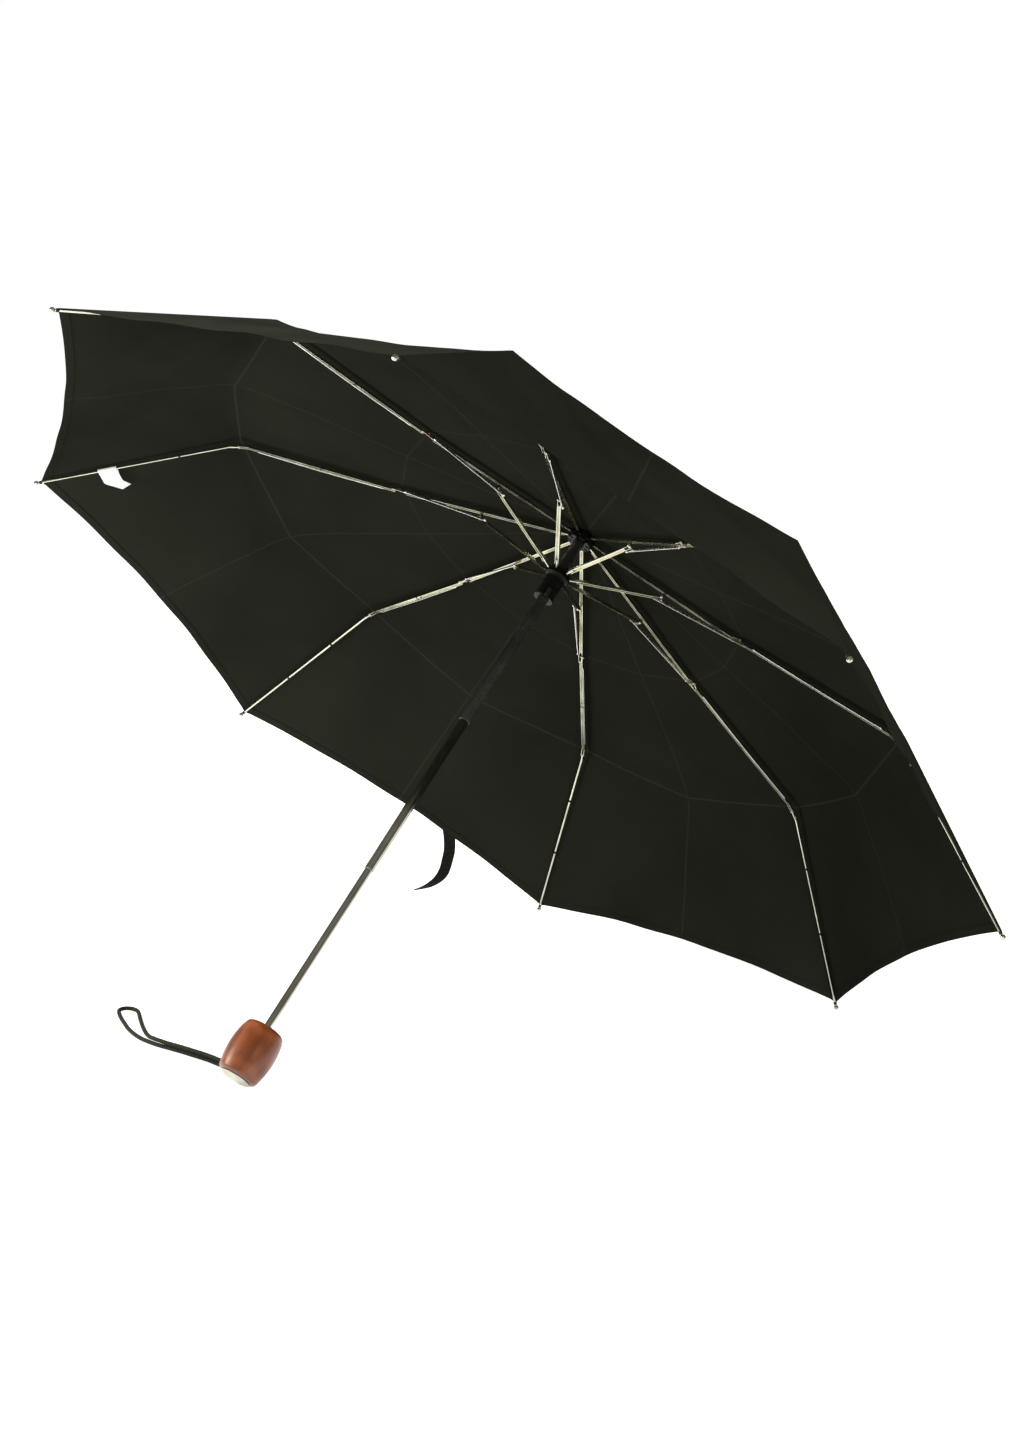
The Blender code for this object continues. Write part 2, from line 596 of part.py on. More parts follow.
# ---------------------------------------------------------------- handle

HANDLE_RADIUS = 20.6 * MM
KNOB_HEIGHT = 47.0 * MM
KNOB_END_RADIUS = 13.9 * MM
CAP_RADIUS = 13.6 * MM
CAP_HEIGHT = 3.2 * MM
KNOB_BORE = LOWER_RADIUS + GAP
KNOB_BORE_DEPTH = 37.0 * MM


def knob_outline():
    """Outer side of the wooden knob from the top face down, as (radius, z)."""
    top = HANDLE_TOP_Z
    bottom = top - KNOB_HEIGHT
    shoulder = 6.5 * MM
    points = [(KNOB_BORE, top)]
    side_top = 17.6 * MM
    for i in range(6):
        angle = TAU / 4.0 * i / 5.0
        points.append((side_top - shoulder + shoulder * math.sin(angle),
                       top - 0.75 * shoulder * (1.0 - math.cos(angle))))
    start_z = points[-1][1]
    end_radius = 17.4 * MM
    end_shoulder = 5.0 * MM
    end_z = bottom + end_shoulder
    for i in range(1, 8):
        t = i / 8.0
        bulge = math.sin(math.pi * min(1.0, t * 0.94 + 0.02)) ** 0.8
        radius = side_top + (end_radius - side_top) * t + (HANDLE_RADIUS - side_top) * bulge
        points.append((radius, start_z + (end_z - start_z) * t))
    for i in range(1, 5):
        angle = TAU / 4.0 * i / 4.0
        points.append((KNOB_END_RADIUS + (17.9 * MM - KNOB_END_RADIUS) * math.cos(angle),
                       end_z - end_shoulder * math.sin(angle)))
    return points


def cap_outline():
    """Outer side of the domed end cap, from its flat top down to the middle of the dome."""
    top = HANDLE_TOP_Z - KNOB_HEIGHT - GAP
    points = [(0.0, top), (CAP_RADIUS - 0.3 * MM, top), (CAP_RADIUS, top - 0.4 * MM)]
    for i in range(1, 7):
        angle = TAU / 4.0 * i / 6.0
        drop = 0.4 * MM + (CAP_HEIGHT - 0.4 * MM) * math.sin(angle)
        points.append((CAP_RADIUS * math.cos(angle), top - drop))
    points[-1] = (0.0, points[-1][1])
    return points


def build_handle(axis):
    wood = material("lacquered_wood", (0.23, 0.07, 0.025), 0.25)
    chrome = material("cap_chrome", (0.75, 0.75, 0.7), 0.15, 1.0)
    bottom = HANDLE_TOP_Z - KNOB_HEIGHT
    outline = knob_outline()
    floor = HANDLE_TOP_Z - KNOB_BORE_DEPTH
    outline += [(0.0, bottom), (0.0, floor), (KNOB_BORE, floor)]

    def entry(bm):
        place = (Matrix.Rotation(CORD_HOLE_TURN, 4, "Z")
                 @ Matrix.Translation(((CORD_HOLE_FLOOR - 30.0 * MM) / 2.0, 0.0, CORD_HOLE_Z))
                 @ Matrix.Rotation(TAU / 4.0, 4, "Y"))
        bmesh.ops.create_cone(bm, cap_ends=True, segments=20, radius1=CORD_HOLE_RADIUS,
                              radius2=CORD_HOLE_RADIUS, depth=CORD_HOLE_FLOOR + 30.0 * MM, matrix=place)

    knob = solid("handle_knob", [from_mesh(turned("knob", outline))], [entry])
    add_part("handle_knob", knob, wood, axis)
    add_part("handle_cap", turned("handle_cap", cap_outline(), 40), chrome, axis)


# ---------------------------------------------------------------- canopy

def cloth_profile():
    """The canopy's line over a rib, as (radius, z) from the top to the hem."""
    inner = LINK["inner"] + turned_point((0.0, INNER_LIFT), TOP_RIB_SLOPE)
    outer = LINK["outer"] + turned_point((0.0, OUTER_LIFT), (MID_RIB_SLOPE + OUTER_RIB_SLOPE) / 2.0)
    hem = (OUTER_RIB_REACH - 5.0 * MM, FOLD_OFFSET + 1.9 * MM)
    hem = LINK["outer"] + turned_point(hem, OUTER_RIB_SLOPE)
    start = Vector((4.0 * MM, 7.75 * MM))
    shoulder = Vector((13.5 * MM, 7.6 * MM))
    points = [start, shoulder]
    for i in (1, 2, 3):
        points.append(shoulder.lerp(inner, i / 3.0))
    for i in (1, 2, 3):
        points.append(inner.lerp(outer, i / 3.0))
    for i in (1, 2, 3, 4):
        points.append(outer.lerp(hem, i / 4.0))
    return points


def canopy_mesh():
    """Eight gores over the ribs. Between two ribs the cloth lies low and its hem curves inward."""
    profile = cloth_profile()
    columns = SPOKES * GORE_COLUMNS
    hem_radius = profile[-1][0]

    def build(bm):
        rings = []
        for j, (radius, z) in enumerate(profile):
            row = []
            t = radius / hem_radius
            for i in range(columns):
                share = (i % GORE_COLUMNS) / GORE_COLUMNS
                between = math.sin(math.pi * share)
                turn = spoke_azimuth(1) + SPOKE_STEP * i / GORE_COLUMNS
                chord = math.cos(SPOKE_STEP / 2.0) / math.cos((share - 0.5) * SPOKE_STEP)
                scallop = HEM_SCALLOP * between * t ** 6
                sag = CLOTH_SAG * between * math.sin(math.pi * max(0.0, (t - 0.05) / 0.95)) ** 2
                r = radius * chord - 0.76 * scallop
                height = z + 0.65 * scallop - sag
                row.append(bm.verts.new((-r * math.sin(turn), r * math.cos(turn), height)))
            rings.append(row)
        for low, high in zip(rings, rings[1:]):
            for i in range(columns):
                k = (i + 1) % columns
                bm.faces.new((low[i], low[k], high[k], high[i]))
    mesh = mesh_from(build, "cloth")
    obj = bpy.data.objects.new("cloth", mesh)
    GUIDES.objects.link(obj)
    shell = obj.modifiers.new("solidify", "SOLIDIFY")
    shell.thickness = CLOTH
    shell.offset = 0.0
    return smooth(evaluated_mesh(obj, "canopy"), 50.0)


def build_canopy(axis):
    cloth = material("black_cloth", (0.012, 0.012, 0.011), 0.8)
    add_part("canopy", canopy_mesh(), cloth, axis)


# ---------------------------------------------------------------- wrist cord, strap and label

def smooth_rows(points, steps):
    """Catmull-Rom points, a fixed number of steps between each two given points."""
    points = [Vector(p) for p in points]
    rows = []
    for i in range(len(points) - 1):
        a = points[max(i - 1, 0)]
        b, c = points[i], points[i + 1]
        d = points[min(i + 2, len(points) - 1)]
        for j in range(steps):
            t = j / steps
            rows.append(0.5 * (2.0 * b + (c - a) * t + (2.0 * a - 5.0 * b + 4.0 * c - d) * t * t
                               + (3.0 * b - a - 3.0 * c + d) * t ** 3))
    rows.append(points[-1])
    return rows


def even_route(points, spacing):
    """Points at an even spacing along a smooth curve through the given points."""
    dense = smooth_rows(points, 24)
    lengths = [0.0]
    for p, q in zip(dense, dense[1:]):
        lengths.append(lengths[-1] + (q - p).length)
    count = max(2, round(lengths[-1] / spacing))
    route, k = [], 0
    for i in range(count + 1):
        goal = lengths[-1] * i / count
        while k < len(dense) - 2 and lengths[k + 1] < goal:
            k += 1
        span = lengths[k + 1] - lengths[k]
        route.append(dense[k].lerp(dense[k + 1], (goal - lengths[k]) / span if span else 0.0))
    return route


def build_cord():
    """A doubled wrist cord: out of the knob, round its loop and back, both ends in one hole."""
    curve = bpy.data.curves.new("wrist_cord", "CURVE")
    curve.dimensions = "3D"
    curve.bevel_depth = CORD_RADIUS
    curve.bevel_resolution = 2
    curve.use_fill_caps = True
    route = even_route([Vector(p) * MM for p in CORD_ROUTE], CORD_SPACING)
    spline = curve.splines.new("POLY")
    spline.points.add(len(route) - 1)
    for point, place in zip(spline.points, route):
        point.co = (*place, 1.0)
    curve.materials.append(material("cord_braid", (0.02, 0.024, 0.016), 0.8))
    obj = bpy.data.objects.new("wrist_cord", curve)
    PARTS.objects.link(obj)


def build_strap():
    """The closing strap: a narrow ribbon down the outside of one gore, past the hem to the floor."""
    count = 4 * (len(STRAP_ROUTE) - 1)
    middles = smooth_rows([row[0] for row in STRAP_ROUTE], 4)
    sides = smooth_rows([row[1] for row in STRAP_ROUTE], 4)

    def build(bm):
        rows = []
        for i in range(count + 1):
            middle, side = middles[i] * MM, sides[i] * MM
            if i == count:
                side = side * 0.3
            rows.append([bm.verts.new(middle - side), bm.verts.new(middle + side)])
        for low, high in zip(rows, rows[1:]):
            bm.faces.new((low[0], low[1], high[1], high[0]))
    obj = bpy.data.objects.new("ribbon", mesh_from(build, "ribbon"))
    GUIDES.objects.link(obj)
    shell = obj.modifiers.new("solidify", "SOLIDIFY")
    shell.thickness = STRAP_THICKNESS
    shell.offset = 0.0
    mesh = smooth(evaluated_mesh(obj, "closing_strap"), 50.0)
    add_part("closing_strap", mesh, material("black_cloth", (0.012, 0.012, 0.011), 0.8), None)


def build_label(axis):
    """The white care label, hanging over one outer rib on its inner side."""
    place = (in_spoke(LABEL_SPOKE, LINK["outer"], OUTER_RIB_SLOPE)
             @ Matrix.Translation((7.2 * MM, 123.0 * MM, -0.9 * MM))
             @ Matrix.Rotation(math.radians(8.5), 4, "Y"))
    label = mesh_from(box((17.5 * MM, 18.0 * MM, 0.4 * MM), (0.0, 0.0, 0.0)), "care_label")
    add_part("care_label", label, material("white_satin", (0.8, 0.8, 0.78), 0.5), axis, place)


# ---------------------------------------------------------------- whole umbrella

def lowest(points, tilt):
    """Lowest place of (y, z) points once the umbrella is tipped by tilt about X."""
    return min(y * math.sin(tilt) + z * math.cos(tilt) for y, z in points)


def resting_tilt():
    """Tip angle at which the handle and the two lower rib tips touch the same floor."""
    handle = [(r, z) for r, z in knob_outline() + cap_outline()]
    tip_y = LINK["tip"][0] * math.cos(SPOKE_STEP / 2.0)
    tip_z = LINK["tip"][1]
    low, high = math.radians(-80.0), math.radians(-5.0)
    for _ in range(60):
        middle = (low + high) / 2.0
        tip_floor = tip_y * math.sin(middle) + tip_z * math.cos(middle) - TIP_RADIUS
        if tip_floor < lowest(handle, middle):
            low = middle
        else:
            high = middle
    return (low + high) / 2.0


def world_bounds(names=None):
    """Low and high corners of the parts, as the viewport evaluates them."""
    graph = bpy.context.evaluated_depsgraph_get()
    corners = []
    for obj in PARTS.objects:
        if names is None or obj.name in names:
            seen = obj.evaluated_get(graph)
            corners += [obj.matrix_world @ v.co for v in seen.data.vertices]
    low = Vector([min(c[i] for c in corners) for i in range(3)])
    high = Vector([max(c[i] for c in corners) for i in range(3)])
    return low, high


def stand_on_floor(axis):
    """Move the umbrella so that the floor is z = 0 and its box is centred on the origin."""
    bpy.context.view_layer.update()
    solid_names = [obj.name for obj in PARTS.objects if obj.name != "wrist_cord"]
    low, high = world_bounds(solid_names)
    shift = Vector((-(low[0] + high[0]) / 2.0, -(low[1] + high[1]) / 2.0, -low[2]))
    axis.matrix_world = Matrix.Translation(shift) @ axis.matrix_world
    bpy.context.view_layer.update()


def main():
    axis = add_empty("umbrella_axis", None, Matrix.Rotation(resting_tilt(), 4, "X"))
    build_handle(axis)
    build_shaft(axis)
    build_hub(axis)
    build_runner(axis)
    build_spokes(axis)
    build_canopy(axis)
    build_label(axis)
    stand_on_floor(axis)
    build_strap()
    build_cord()


main()
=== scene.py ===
"""Looks of the open folding umbrella: cloth, cord, strap, label, fine metal, light and camera."""

import json
import math

import bmesh
import bpy
import numpy as np
from mathutils import Matrix, Vector


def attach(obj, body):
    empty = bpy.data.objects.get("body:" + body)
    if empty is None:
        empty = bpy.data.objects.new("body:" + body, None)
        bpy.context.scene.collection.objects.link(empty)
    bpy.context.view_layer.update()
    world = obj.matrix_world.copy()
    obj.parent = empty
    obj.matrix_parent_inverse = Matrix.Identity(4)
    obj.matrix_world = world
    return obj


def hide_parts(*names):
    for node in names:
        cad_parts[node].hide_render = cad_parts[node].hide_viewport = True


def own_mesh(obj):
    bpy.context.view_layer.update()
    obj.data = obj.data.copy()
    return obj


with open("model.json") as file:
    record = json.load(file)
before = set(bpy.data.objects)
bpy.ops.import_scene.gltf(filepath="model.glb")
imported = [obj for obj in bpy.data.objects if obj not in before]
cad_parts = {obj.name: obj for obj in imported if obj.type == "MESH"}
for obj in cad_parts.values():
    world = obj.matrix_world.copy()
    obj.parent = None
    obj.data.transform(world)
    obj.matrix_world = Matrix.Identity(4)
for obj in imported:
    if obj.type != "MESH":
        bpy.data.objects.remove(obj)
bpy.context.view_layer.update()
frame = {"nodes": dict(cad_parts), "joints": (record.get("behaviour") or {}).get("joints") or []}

MM = 0.001
TAU = 2.0 * math.pi
SPOKES = range(1, 9)
NODES = frame["nodes"]
JOINTS = {j["name"]: j for j in frame["joints"]}

# Places of the umbrella, taken from its joints. Local Z is the shaft, local X is world X.
# The slopes are those of the open umbrella, each in its spoke's own plane.
TOP_SLOPE, MID_SLOPE, OUTER_SLOPE = (math.radians(a) for a in (-10.2, -8.1, -38.85))
STRETCHER_SLOPE, LINK_SLOPE = -2.8944, -0.0784
SHAFT = -Vector(JOINTS["upper_telescope"]["axis"])
SIDE = Vector((1.0, 0.0, 0.0))
FRONT = SHAFT.cross(SIDE)


def fold_joint(k):
    return JOINTS["rib_fold" if k == 1 else f"top_rib_{k}_hinge"]


# The notch's zero lies 3 mm below its ring of hinges.
HINGE_RING = [Vector(fold_joint(k)["pos_m"]) for k in SPOKES]
NOTCH = sum(HINGE_RING, Vector()) / 8.0 - SHAFT * 3.0 * MM
AXIS = Matrix.Translation(NOTCH) @ Matrix((SIDE, FRONT, SHAFT)).transposed().to_4x4()


def azimuth(k):
    return math.radians((4.5 - k) * 45.0)


def rib_frame(joint_name, k, slope):
    """Placement at a hinge: X along the hinge, Y along the rib, Z to the rib's cloth side."""
    upright = AXIS.to_3x3().to_4x4() @ Matrix.Rotation(azimuth(k), 4, "Z")
    turn = upright @ Matrix.Rotation(slope, 4, "X")
    return Matrix.Translation(JOINTS[joint_name]["pos_m"]) @ turn


def top_frame(k):
    return rib_frame(fold_joint(k)["name"], k, TOP_SLOPE)


def mid_frame(k):
    return rib_frame(f"mid_rib_{k}_hinge", k, MID_SLOPE)


def outer_frame(k):
    return rib_frame(f"outer_rib_{k}_hinge", k, OUTER_SLOPE)


def stretcher_frame(k):
    return rib_frame(f"stretcher_{k}_hinge", k, STRETCHER_SLOPE)


def link_frame(k):
    return rib_frame(f"link_bar_{k}_hinge", k, LINK_SLOPE)


def world_point(local):
    return AXIS @ Vector(local)


def link_new(obj):
    bpy.context.scene.collection.objects.link(obj)
    return obj


# ------------------------------------------------------------------ camera and stage

def add_camera():
    eye = Vector((1.2908, -1.4894, 0.6945))
    right = Vector((0.75163449, 0.65380271, 0.08710688))
    down = Vector((0.19900403, -0.09888199, -0.97499731))
    ahead = right.cross(down)
    data = bpy.data.cameras.new("camera")
    data.lens = 57.7
    data.sensor_width = 36.0
    data.clip_end = 100.0
    camera = bpy.data.objects.new("camera", data)
    turn = Matrix((right, -down, -ahead)).transposed().to_4x4()
    camera.matrix_world = Matrix.Translation(eye) @ turn
    link_new(camera)
    bpy.context.scene.camera = camera


def new_material(name):
    made = bpy.data.materials.new(name)
    made.use_nodes = True
    return made, made.node_tree.nodes["Principled BSDF"]


# Each lamp's name, place, aim, side, power, colour, and whether gloss mirrors it.
LAMPS = (
    ("key", (2.3, -1.0, 0.9), (-0.1, 0.1, 0.25), 0.9, 64.0, (1.0, 0.985, 0.95), False),
    ("side", (-0.6, -0.85, 0.3), (0.0, -0.25, 0.03), 0.3, 3.6, (1.0, 0.97, 0.92), True),
    ("top", (-1.9, -0.9, 1.7), (-0.2, 0.1, 0.4), 0.9, 170.0, (1.0, 1.0, 1.0), False))
# The studio's tones, from its back to its front.
STUDIO_TONES = (
    (0.05, (0.16, 0.16, 0.15)), (0.45, (0.22, 0.21, 0.19)), (0.62, (0.13, 0.125, 0.11)),
    (0.80, (0.24, 0.23, 0.20)), (0.92, (0.42, 0.41, 0.37)))
STUDIO_FRONT = (0.25, -0.80, 0.10)
FLOOR_SIZE, FLOOR_DROP, FLOOR_GREY = 40.0, 0.0005, 0.42
# The floor's own glow: everywhere, more of it in reflections, and more of it where it is seen.
FLOOR_GLOW, FLOOR_IN_GLOSS, FLOOR_IN_VIEW = 0.07, 0.72, 0.86


def add_area(name, place, aim, side, power, colour, mirrored):
    data = bpy.data.lights.new(name, "AREA")
    data.shape = "RECTANGLE"
    data.size, data.size_y = side, side
    data.energy = power
    data.color = colour
    lamp = bpy.data.objects.new(name, data)
    lamp.location = place
    lamp.visible_glossy = mirrored
    lamp.rotation_euler = (Vector(aim) - Vector(place)).to_track_quat("-Z", "Y").to_euler()
    link_new(lamp)


def add_stage():
    bm = bmesh.new()
    bmesh.ops.create_grid(bm, x_segments=1, y_segments=1, size=FLOOR_SIZE)
    mesh = bpy.data.meshes.new("floor")
    bm.to_mesh(mesh)
    bm.free()
    floor = link_new(bpy.data.objects.new("floor", mesh))
    floor.location = (0.0, 0.0, -FLOOR_DROP)
    paper, shader = new_material("studio_paper")
    nodes = Nodes(paper)
    shader.inputs["Base Color"].default_value = (FLOOR_GREY, FLOOR_GREY, FLOOR_GREY, 1.0)
    shader.inputs["Roughness"].default_value = 0.9
    shader.inputs["Emission Color"].default_value = (1.0, 1.0, 1.0, 1.0)
    rays = nodes.add("ShaderNodeLightPath").outputs
    mirrored = nodes.math("MULTIPLY_ADD", rays["Is Glossy Ray"], FLOOR_IN_GLOSS, FLOOR_GLOW)
    glow = nodes.math("MULTIPLY_ADD", rays["Is Camera Ray"], FLOOR_IN_VIEW, mirrored)
    nodes.link(glow, shader.inputs["Emission Strength"])
    mesh.materials.append(paper)
    add_world()
    bpy.context.scene.view_settings.view_transform = "Standard"
    for lamp in LAMPS:
        add_area(*lamp)


def add_world():
    """White where the camera looks, and for all else a grey studio that is palest in front."""
    world = bpy.data.worlds.new("studio")
    world.use_nodes = True
    bpy.context.scene.world = world
    nodes = Nodes(world)
    tree = world.node_tree
    lit = tree.nodes["Background"]
    way = nodes.add("ShaderNodeTexCoord").outputs["Generated"]
    toward = nodes.add("ShaderNodeVectorMath", operation="DOT_PRODUCT")
    nodes.link(way, toward.inputs[0])
    toward.inputs[1].default_value = STUDIO_FRONT
    facing = nodes.math("MULTIPLY_ADD", toward.outputs["Value"], 0.5, 0.5)
    nodes.link(nodes.ramp(facing, *STUDIO_TONES), lit.inputs["Color"])
    plain = nodes.add("ShaderNodeBackground")
    plain.inputs["Color"].default_value = (1.0, 1.0, 1.0, 1.0)
    choose = nodes.add("ShaderNodeMixShader")
    nodes.link(nodes.add("ShaderNodeLightPath").outputs["Is Camera Ray"], choose.inputs["Fac"])
    nodes.link(lit.outputs[0], choose.inputs[1])
    nodes.link(plain.outputs[0], choose.inputs[2])
    nodes.link(choose.outputs[0], tree.nodes["World Output"].inputs["Surface"])


# ------------------------------------------------------------------ shader helpers

class Nodes:
    """Short way to build a node tree."""

    def __init__(self, material):
        self.tree = material.node_tree

    def add(self, kind, **settings):
        node = self.tree.nodes.new(kind)
        for name, value in settings.items():
            setattr(node, name, value)
        return node

    def link(self, a, b):
        self.tree.links.new(a, b)

    def math(self, operation, a, b=0.0, c=0.0):
        node = self.add("ShaderNodeMath", operation=operation)
        for socket, value in zip(node.inputs, (a, b, c)):
            if isinstance(value, (int, float)):
                socket.default_value = value
            else:
                self.link(value, socket)
        return node.outputs[0]

    def attribute(self, name):
        return self.add("ShaderNodeAttribute", attribute_name=name).outputs["Fac"]

    def noise(self, vector, scale, detail):
        node = self.add("ShaderNodeTexNoise")
        node.inputs["Scale"].default_value = scale
        node.inputs["Detail"].default_value = detail
        self.link(vector, node.inputs["Vector"])
        return node.outputs["Fac"]

    def ramp(self, factor, *stops):
        node = self.add("ShaderNodeValToRGB")
        elements = node.color_ramp.elements
        while len(elements) < len(stops):
            elements.new(0.5)
        for element, (place, colour) in zip(elements, stops):
            element.position = place
            element.color = (*colour, 1.0)
        self.link(factor, node.inputs["Fac"])
        return node.outputs["Color"]

    def line(self, distance, width):
        """1 on a line and 0 away from it."""
        share = self.math("DIVIDE", distance, width)
        square = self.math("MULTIPLY", share, share)
        return self.math("POWER", 2.718, self.math("MULTIPLY", square, -1.0))

    def bands(self, vector, direction, scale):
        node = self.add("ShaderNodeTexWave", wave_type="BANDS", bands_direction=direction)
        node.inputs["Scale"].default_value = scale
        self.link(vector, node.inputs["Vector"])
        return node.outputs["Fac"]

    def bump(self, height, distance, strength):
        node = self.add("ShaderNodeBump")
        node.inputs["Strength"].default_value = strength
        node.inputs["Distance"].default_value = distance
        self.link(height, node.inputs["Height"])
        return node.outputs["Normal"]


def cloth_material():
    """Matt dark olive cloth with a fine weave, stitch lines and creases where the ribs fold; the creases
    are also painted lighter, a painted highlight along each fold.
    """
    made, shader = new_material("pongee")
    n = Nodes(made)
    place = n.add("ShaderNodeTexCoord").outputs["Object"]
    uv = n.add("ShaderNodeTexCoord").outputs["UV"]
    broad = n.noise(place, 7.0, 3.0)
    shader.inputs["Roughness"].default_value = 0.6
    shader.inputs["Specular IOR Level"].default_value = 0.0
    creases = n.line(n.attribute("ring_d"), 1.0 * MM)
    for distance, width, share in (("mid_d", 0.8 * MM, 0.7), ("inner_d", 1.0 * MM, 0.5)):
        line = n.line(n.attribute(distance), width)
        creases = n.math("MAXIMUM", creases, n.math("MULTIPLY", line, share))
    # The crease lines lighten the colour: a painted highlight along each fold, on top of their bump.
    tone = n.math("ADD", n.math("MULTIPLY", broad, 0.6), n.math("MULTIPLY", creases, 0.5))
    colour = n.ramp(tone, (0.15, (0.0150, 0.0158, 0.0112)), (0.45, (0.0225, 0.0236, 0.0170)),
                    (0.9, (0.034, 0.036, 0.026)))
    n.link(colour, shader.inputs["Base Color"])
    hem_line = n.line(n.math("SUBTRACT", n.attribute("hem_d"), 7.0 * MM), 0.45 * MM)
    seam_line = n.line(n.math("SUBTRACT", n.attribute("seam_d"), 3.2 * MM), 0.45 * MM)
    pitch = n.bands(uv, "DIAGONAL", 120.0)
    stitches = n.math("MULTIPLY", n.math("MAXIMUM", hem_line, seam_line), pitch)
    thread = n.math("MULTIPLY", n.bands(uv, "X", 520.0), n.bands(uv, "Y", 520.0))
    height = n.math("ADD", n.math("MULTIPLY", creases, 0.55), n.math("MULTIPLY", stitches, 0.8))
    height = n.math("ADD", height, n.math("MULTIPLY", thread, 0.05))
    height = n.math("ADD", height, n.math("MULTIPLY", n.noise(place, 60.0, 2.0), 0.35))
    n.link(n.bump(height, 0.5 * MM, 0.8), shader.inputs["Normal"])
    return made


# ------------------------------------------------------------------ canopy

INNER_LIFT = 2.7 * MM
OUTER_LIFT = 8.6 * MM
HEM_SCALLOP = 13.0 * MM
OUTER_CREASE = 20.0 * MM
INNER_CREASE = 8.0 * MM
EVEN_SAG, SAG_SPREAD = 0.8 * MM, 0.06
SLACK, LOOSE_SLACK, LOOSE_GORE = 2.8 * MM, 9.0 * MM, 8
BROAD_RIPPLE, FINE_RIPPLE = 0.7 * MM, 0.25 * MM
HEM_FLUTTER, FLUTTER_SPREAD = 1.1 * MM, 0.018
CLOTH_FACTS = ("ring_d", "inner_d", "hem_d", "seam_d", "mid_d")


def radial(k):
    return np.array([-math.sin(azimuth(k)), math.cos(azimuth(k)), 0.0])


def turned(point, angle):
    c, s = math.cos(angle), math.sin(angle)
    return np.array([point[0] * c - point[1] * s, point[0] * s + point[1] * c])


def spoke_plane(point):
    """(radius, height) of a world point in the umbrella's own frame."""
    local = AXIS.inverted() @ Vector(point)
    return np.array([math.hypot(local.x, local.y), local.z])


INNER_PIVOT = spoke_plane(JOINTS["mid_rib_1_hinge"]["pos_m"])
OUTER_PIVOT = spoke_plane(JOINTS["outer_rib_1_hinge"]["pos_m"])
# (radius, height) of the cloth over a rib: crown hole, crown edge, inner fold, outer fold, hem.
STATIONS = [np.array([4.0 * MM, 7.75 * MM]), np.array([13.5 * MM, 7.6 * MM]),
            INNER_PIVOT + turned((0.0, INNER_LIFT), TOP_SLOPE),
            OUTER_PIVOT + turned((0.0, OUTER_LIFT), 0.5 * (MID_SLOPE + OUTER_SLOPE)),
            OUTER_PIVOT + turned((188.9 * MM, 3.9 * MM), OUTER_SLOPE)]


def unit(v):
    return v / np.linalg.norm(v, axis=-1, keepdims=True)


def cloth(k, s, zone, t, depth=0.0):
    """Points of the gore between spokes k and k + 1, in the umbrella's frame.

    s runs from one spoke to the next, t along one zone between two stations, depth to the inside.
    Also returns the distances that the cloth's shader uses.
    """
    s, t = np.broadcast_arrays(np.asarray(s, float), np.asarray(t, float))
    here, there = radial(k), radial(k + 1)
    ray = (1.0 - s)[..., None] * here + s[..., None] * there
    up = np.array([0.0, 0.0, 1.0])
    points = [ray * r + up * z for r, z in STATIONS]
    tri = (1.0 - np.abs(2.0 * s - 1.0))[..., None]
    bow = (4.0 * s * (1.0 - s))[..., None]
    mid_way = unit(points[3] - points[2])
    out_way = unit(points[4] - points[3])
    points[2] = points[2] + mid_way * INNER_CREASE * tri
    points[3] = points[3] + unit(mid_way + out_way) * OUTER_CREASE * tri
    points[4] = points[4] - out_way * HEM_SCALLOP * bow
    spans = [np.linalg.norm(b - a, axis=-1) for a, b in zip(points, points[1:])]
    marks = [np.zeros_like(s)]
    for span in spans:
        marks.append(marks[-1] + span)
    run = marks[zone] + t * spans[zone]

    def along(at):
        place = points[0] + unit(points[1] - points[0]) * at[..., None]
        for i in range(1, 4):
            beyond = points[i] + unit(points[i + 1] - points[i]) * (at - marks[i])[..., None]
            place = np.where((at > marks[i])[..., None], beyond, place)
        return place

    settle = np.clip((run - 0.03) / 0.05, 0.0, 1.0)
    reach = (1.5 * MM + 15.0 * MM * bow[..., 0]) * settle
    place = sum(along(run + share * reach) for share in (-1.0, -0.5, 0.0, 0.5, 1.0)) / 5.0
    chord = unit(there - here)
    ahead = unit(along(run + reach + MM) - along(run - reach - MM))
    normal = unit(np.cross(ahead, -chord))
    normal = normal * np.sign(normal[..., 2:3])
    width = 2.0 * math.sin(TAU / 16.0) * np.linalg.norm(place[..., :2], axis=-1)
    ring = run - marks[3]
    ease = np.clip((run - 0.04) / 0.08, 0.0, 1.0)
    slack = LOOSE_SLACK if k == LOOSE_GORE else SLACK
    sag = bow[..., 0] * ease * (EVEN_SAG + slack * np.exp(-(ring / SAG_SPREAD) ** 2))
    broad = np.sin(run * 71.0 + 2.1 * k + 5.0 * s) * np.sin(s * 17.0 + 1.3 * k + run * 9.0)
    fine = np.sin(run * 143.0 + 9.0 * s + k) * np.sin(s * 31.0 + 2.7 * k)
    ripple = broad * BROAD_RIPPLE + fine * FINE_RIPPLE
    hem = marks[4] - run
    flutter = np.exp(-hem / FLUTTER_SPREAD) * np.sin(s * 26.0 + 1.9 * k) * HEM_FLUTTER
    calm = np.clip((run - 0.13) / 0.15, 0.0, 1.0)
    lift = -sag + (ripple * calm + flutter) * np.sqrt(np.clip(bow[..., 0], 0.0, 1.0)) - depth
    place = place + normal * lift[..., None]
    facts = {"ring_d": ring, "inner_d": run - marks[2], "hem_d": hem,
             "seam_d": np.minimum(s, 1.0 - s) * width, "mid_d": (s - 0.5) * width,
             "across": s * width, "run": run}
    return place, facts


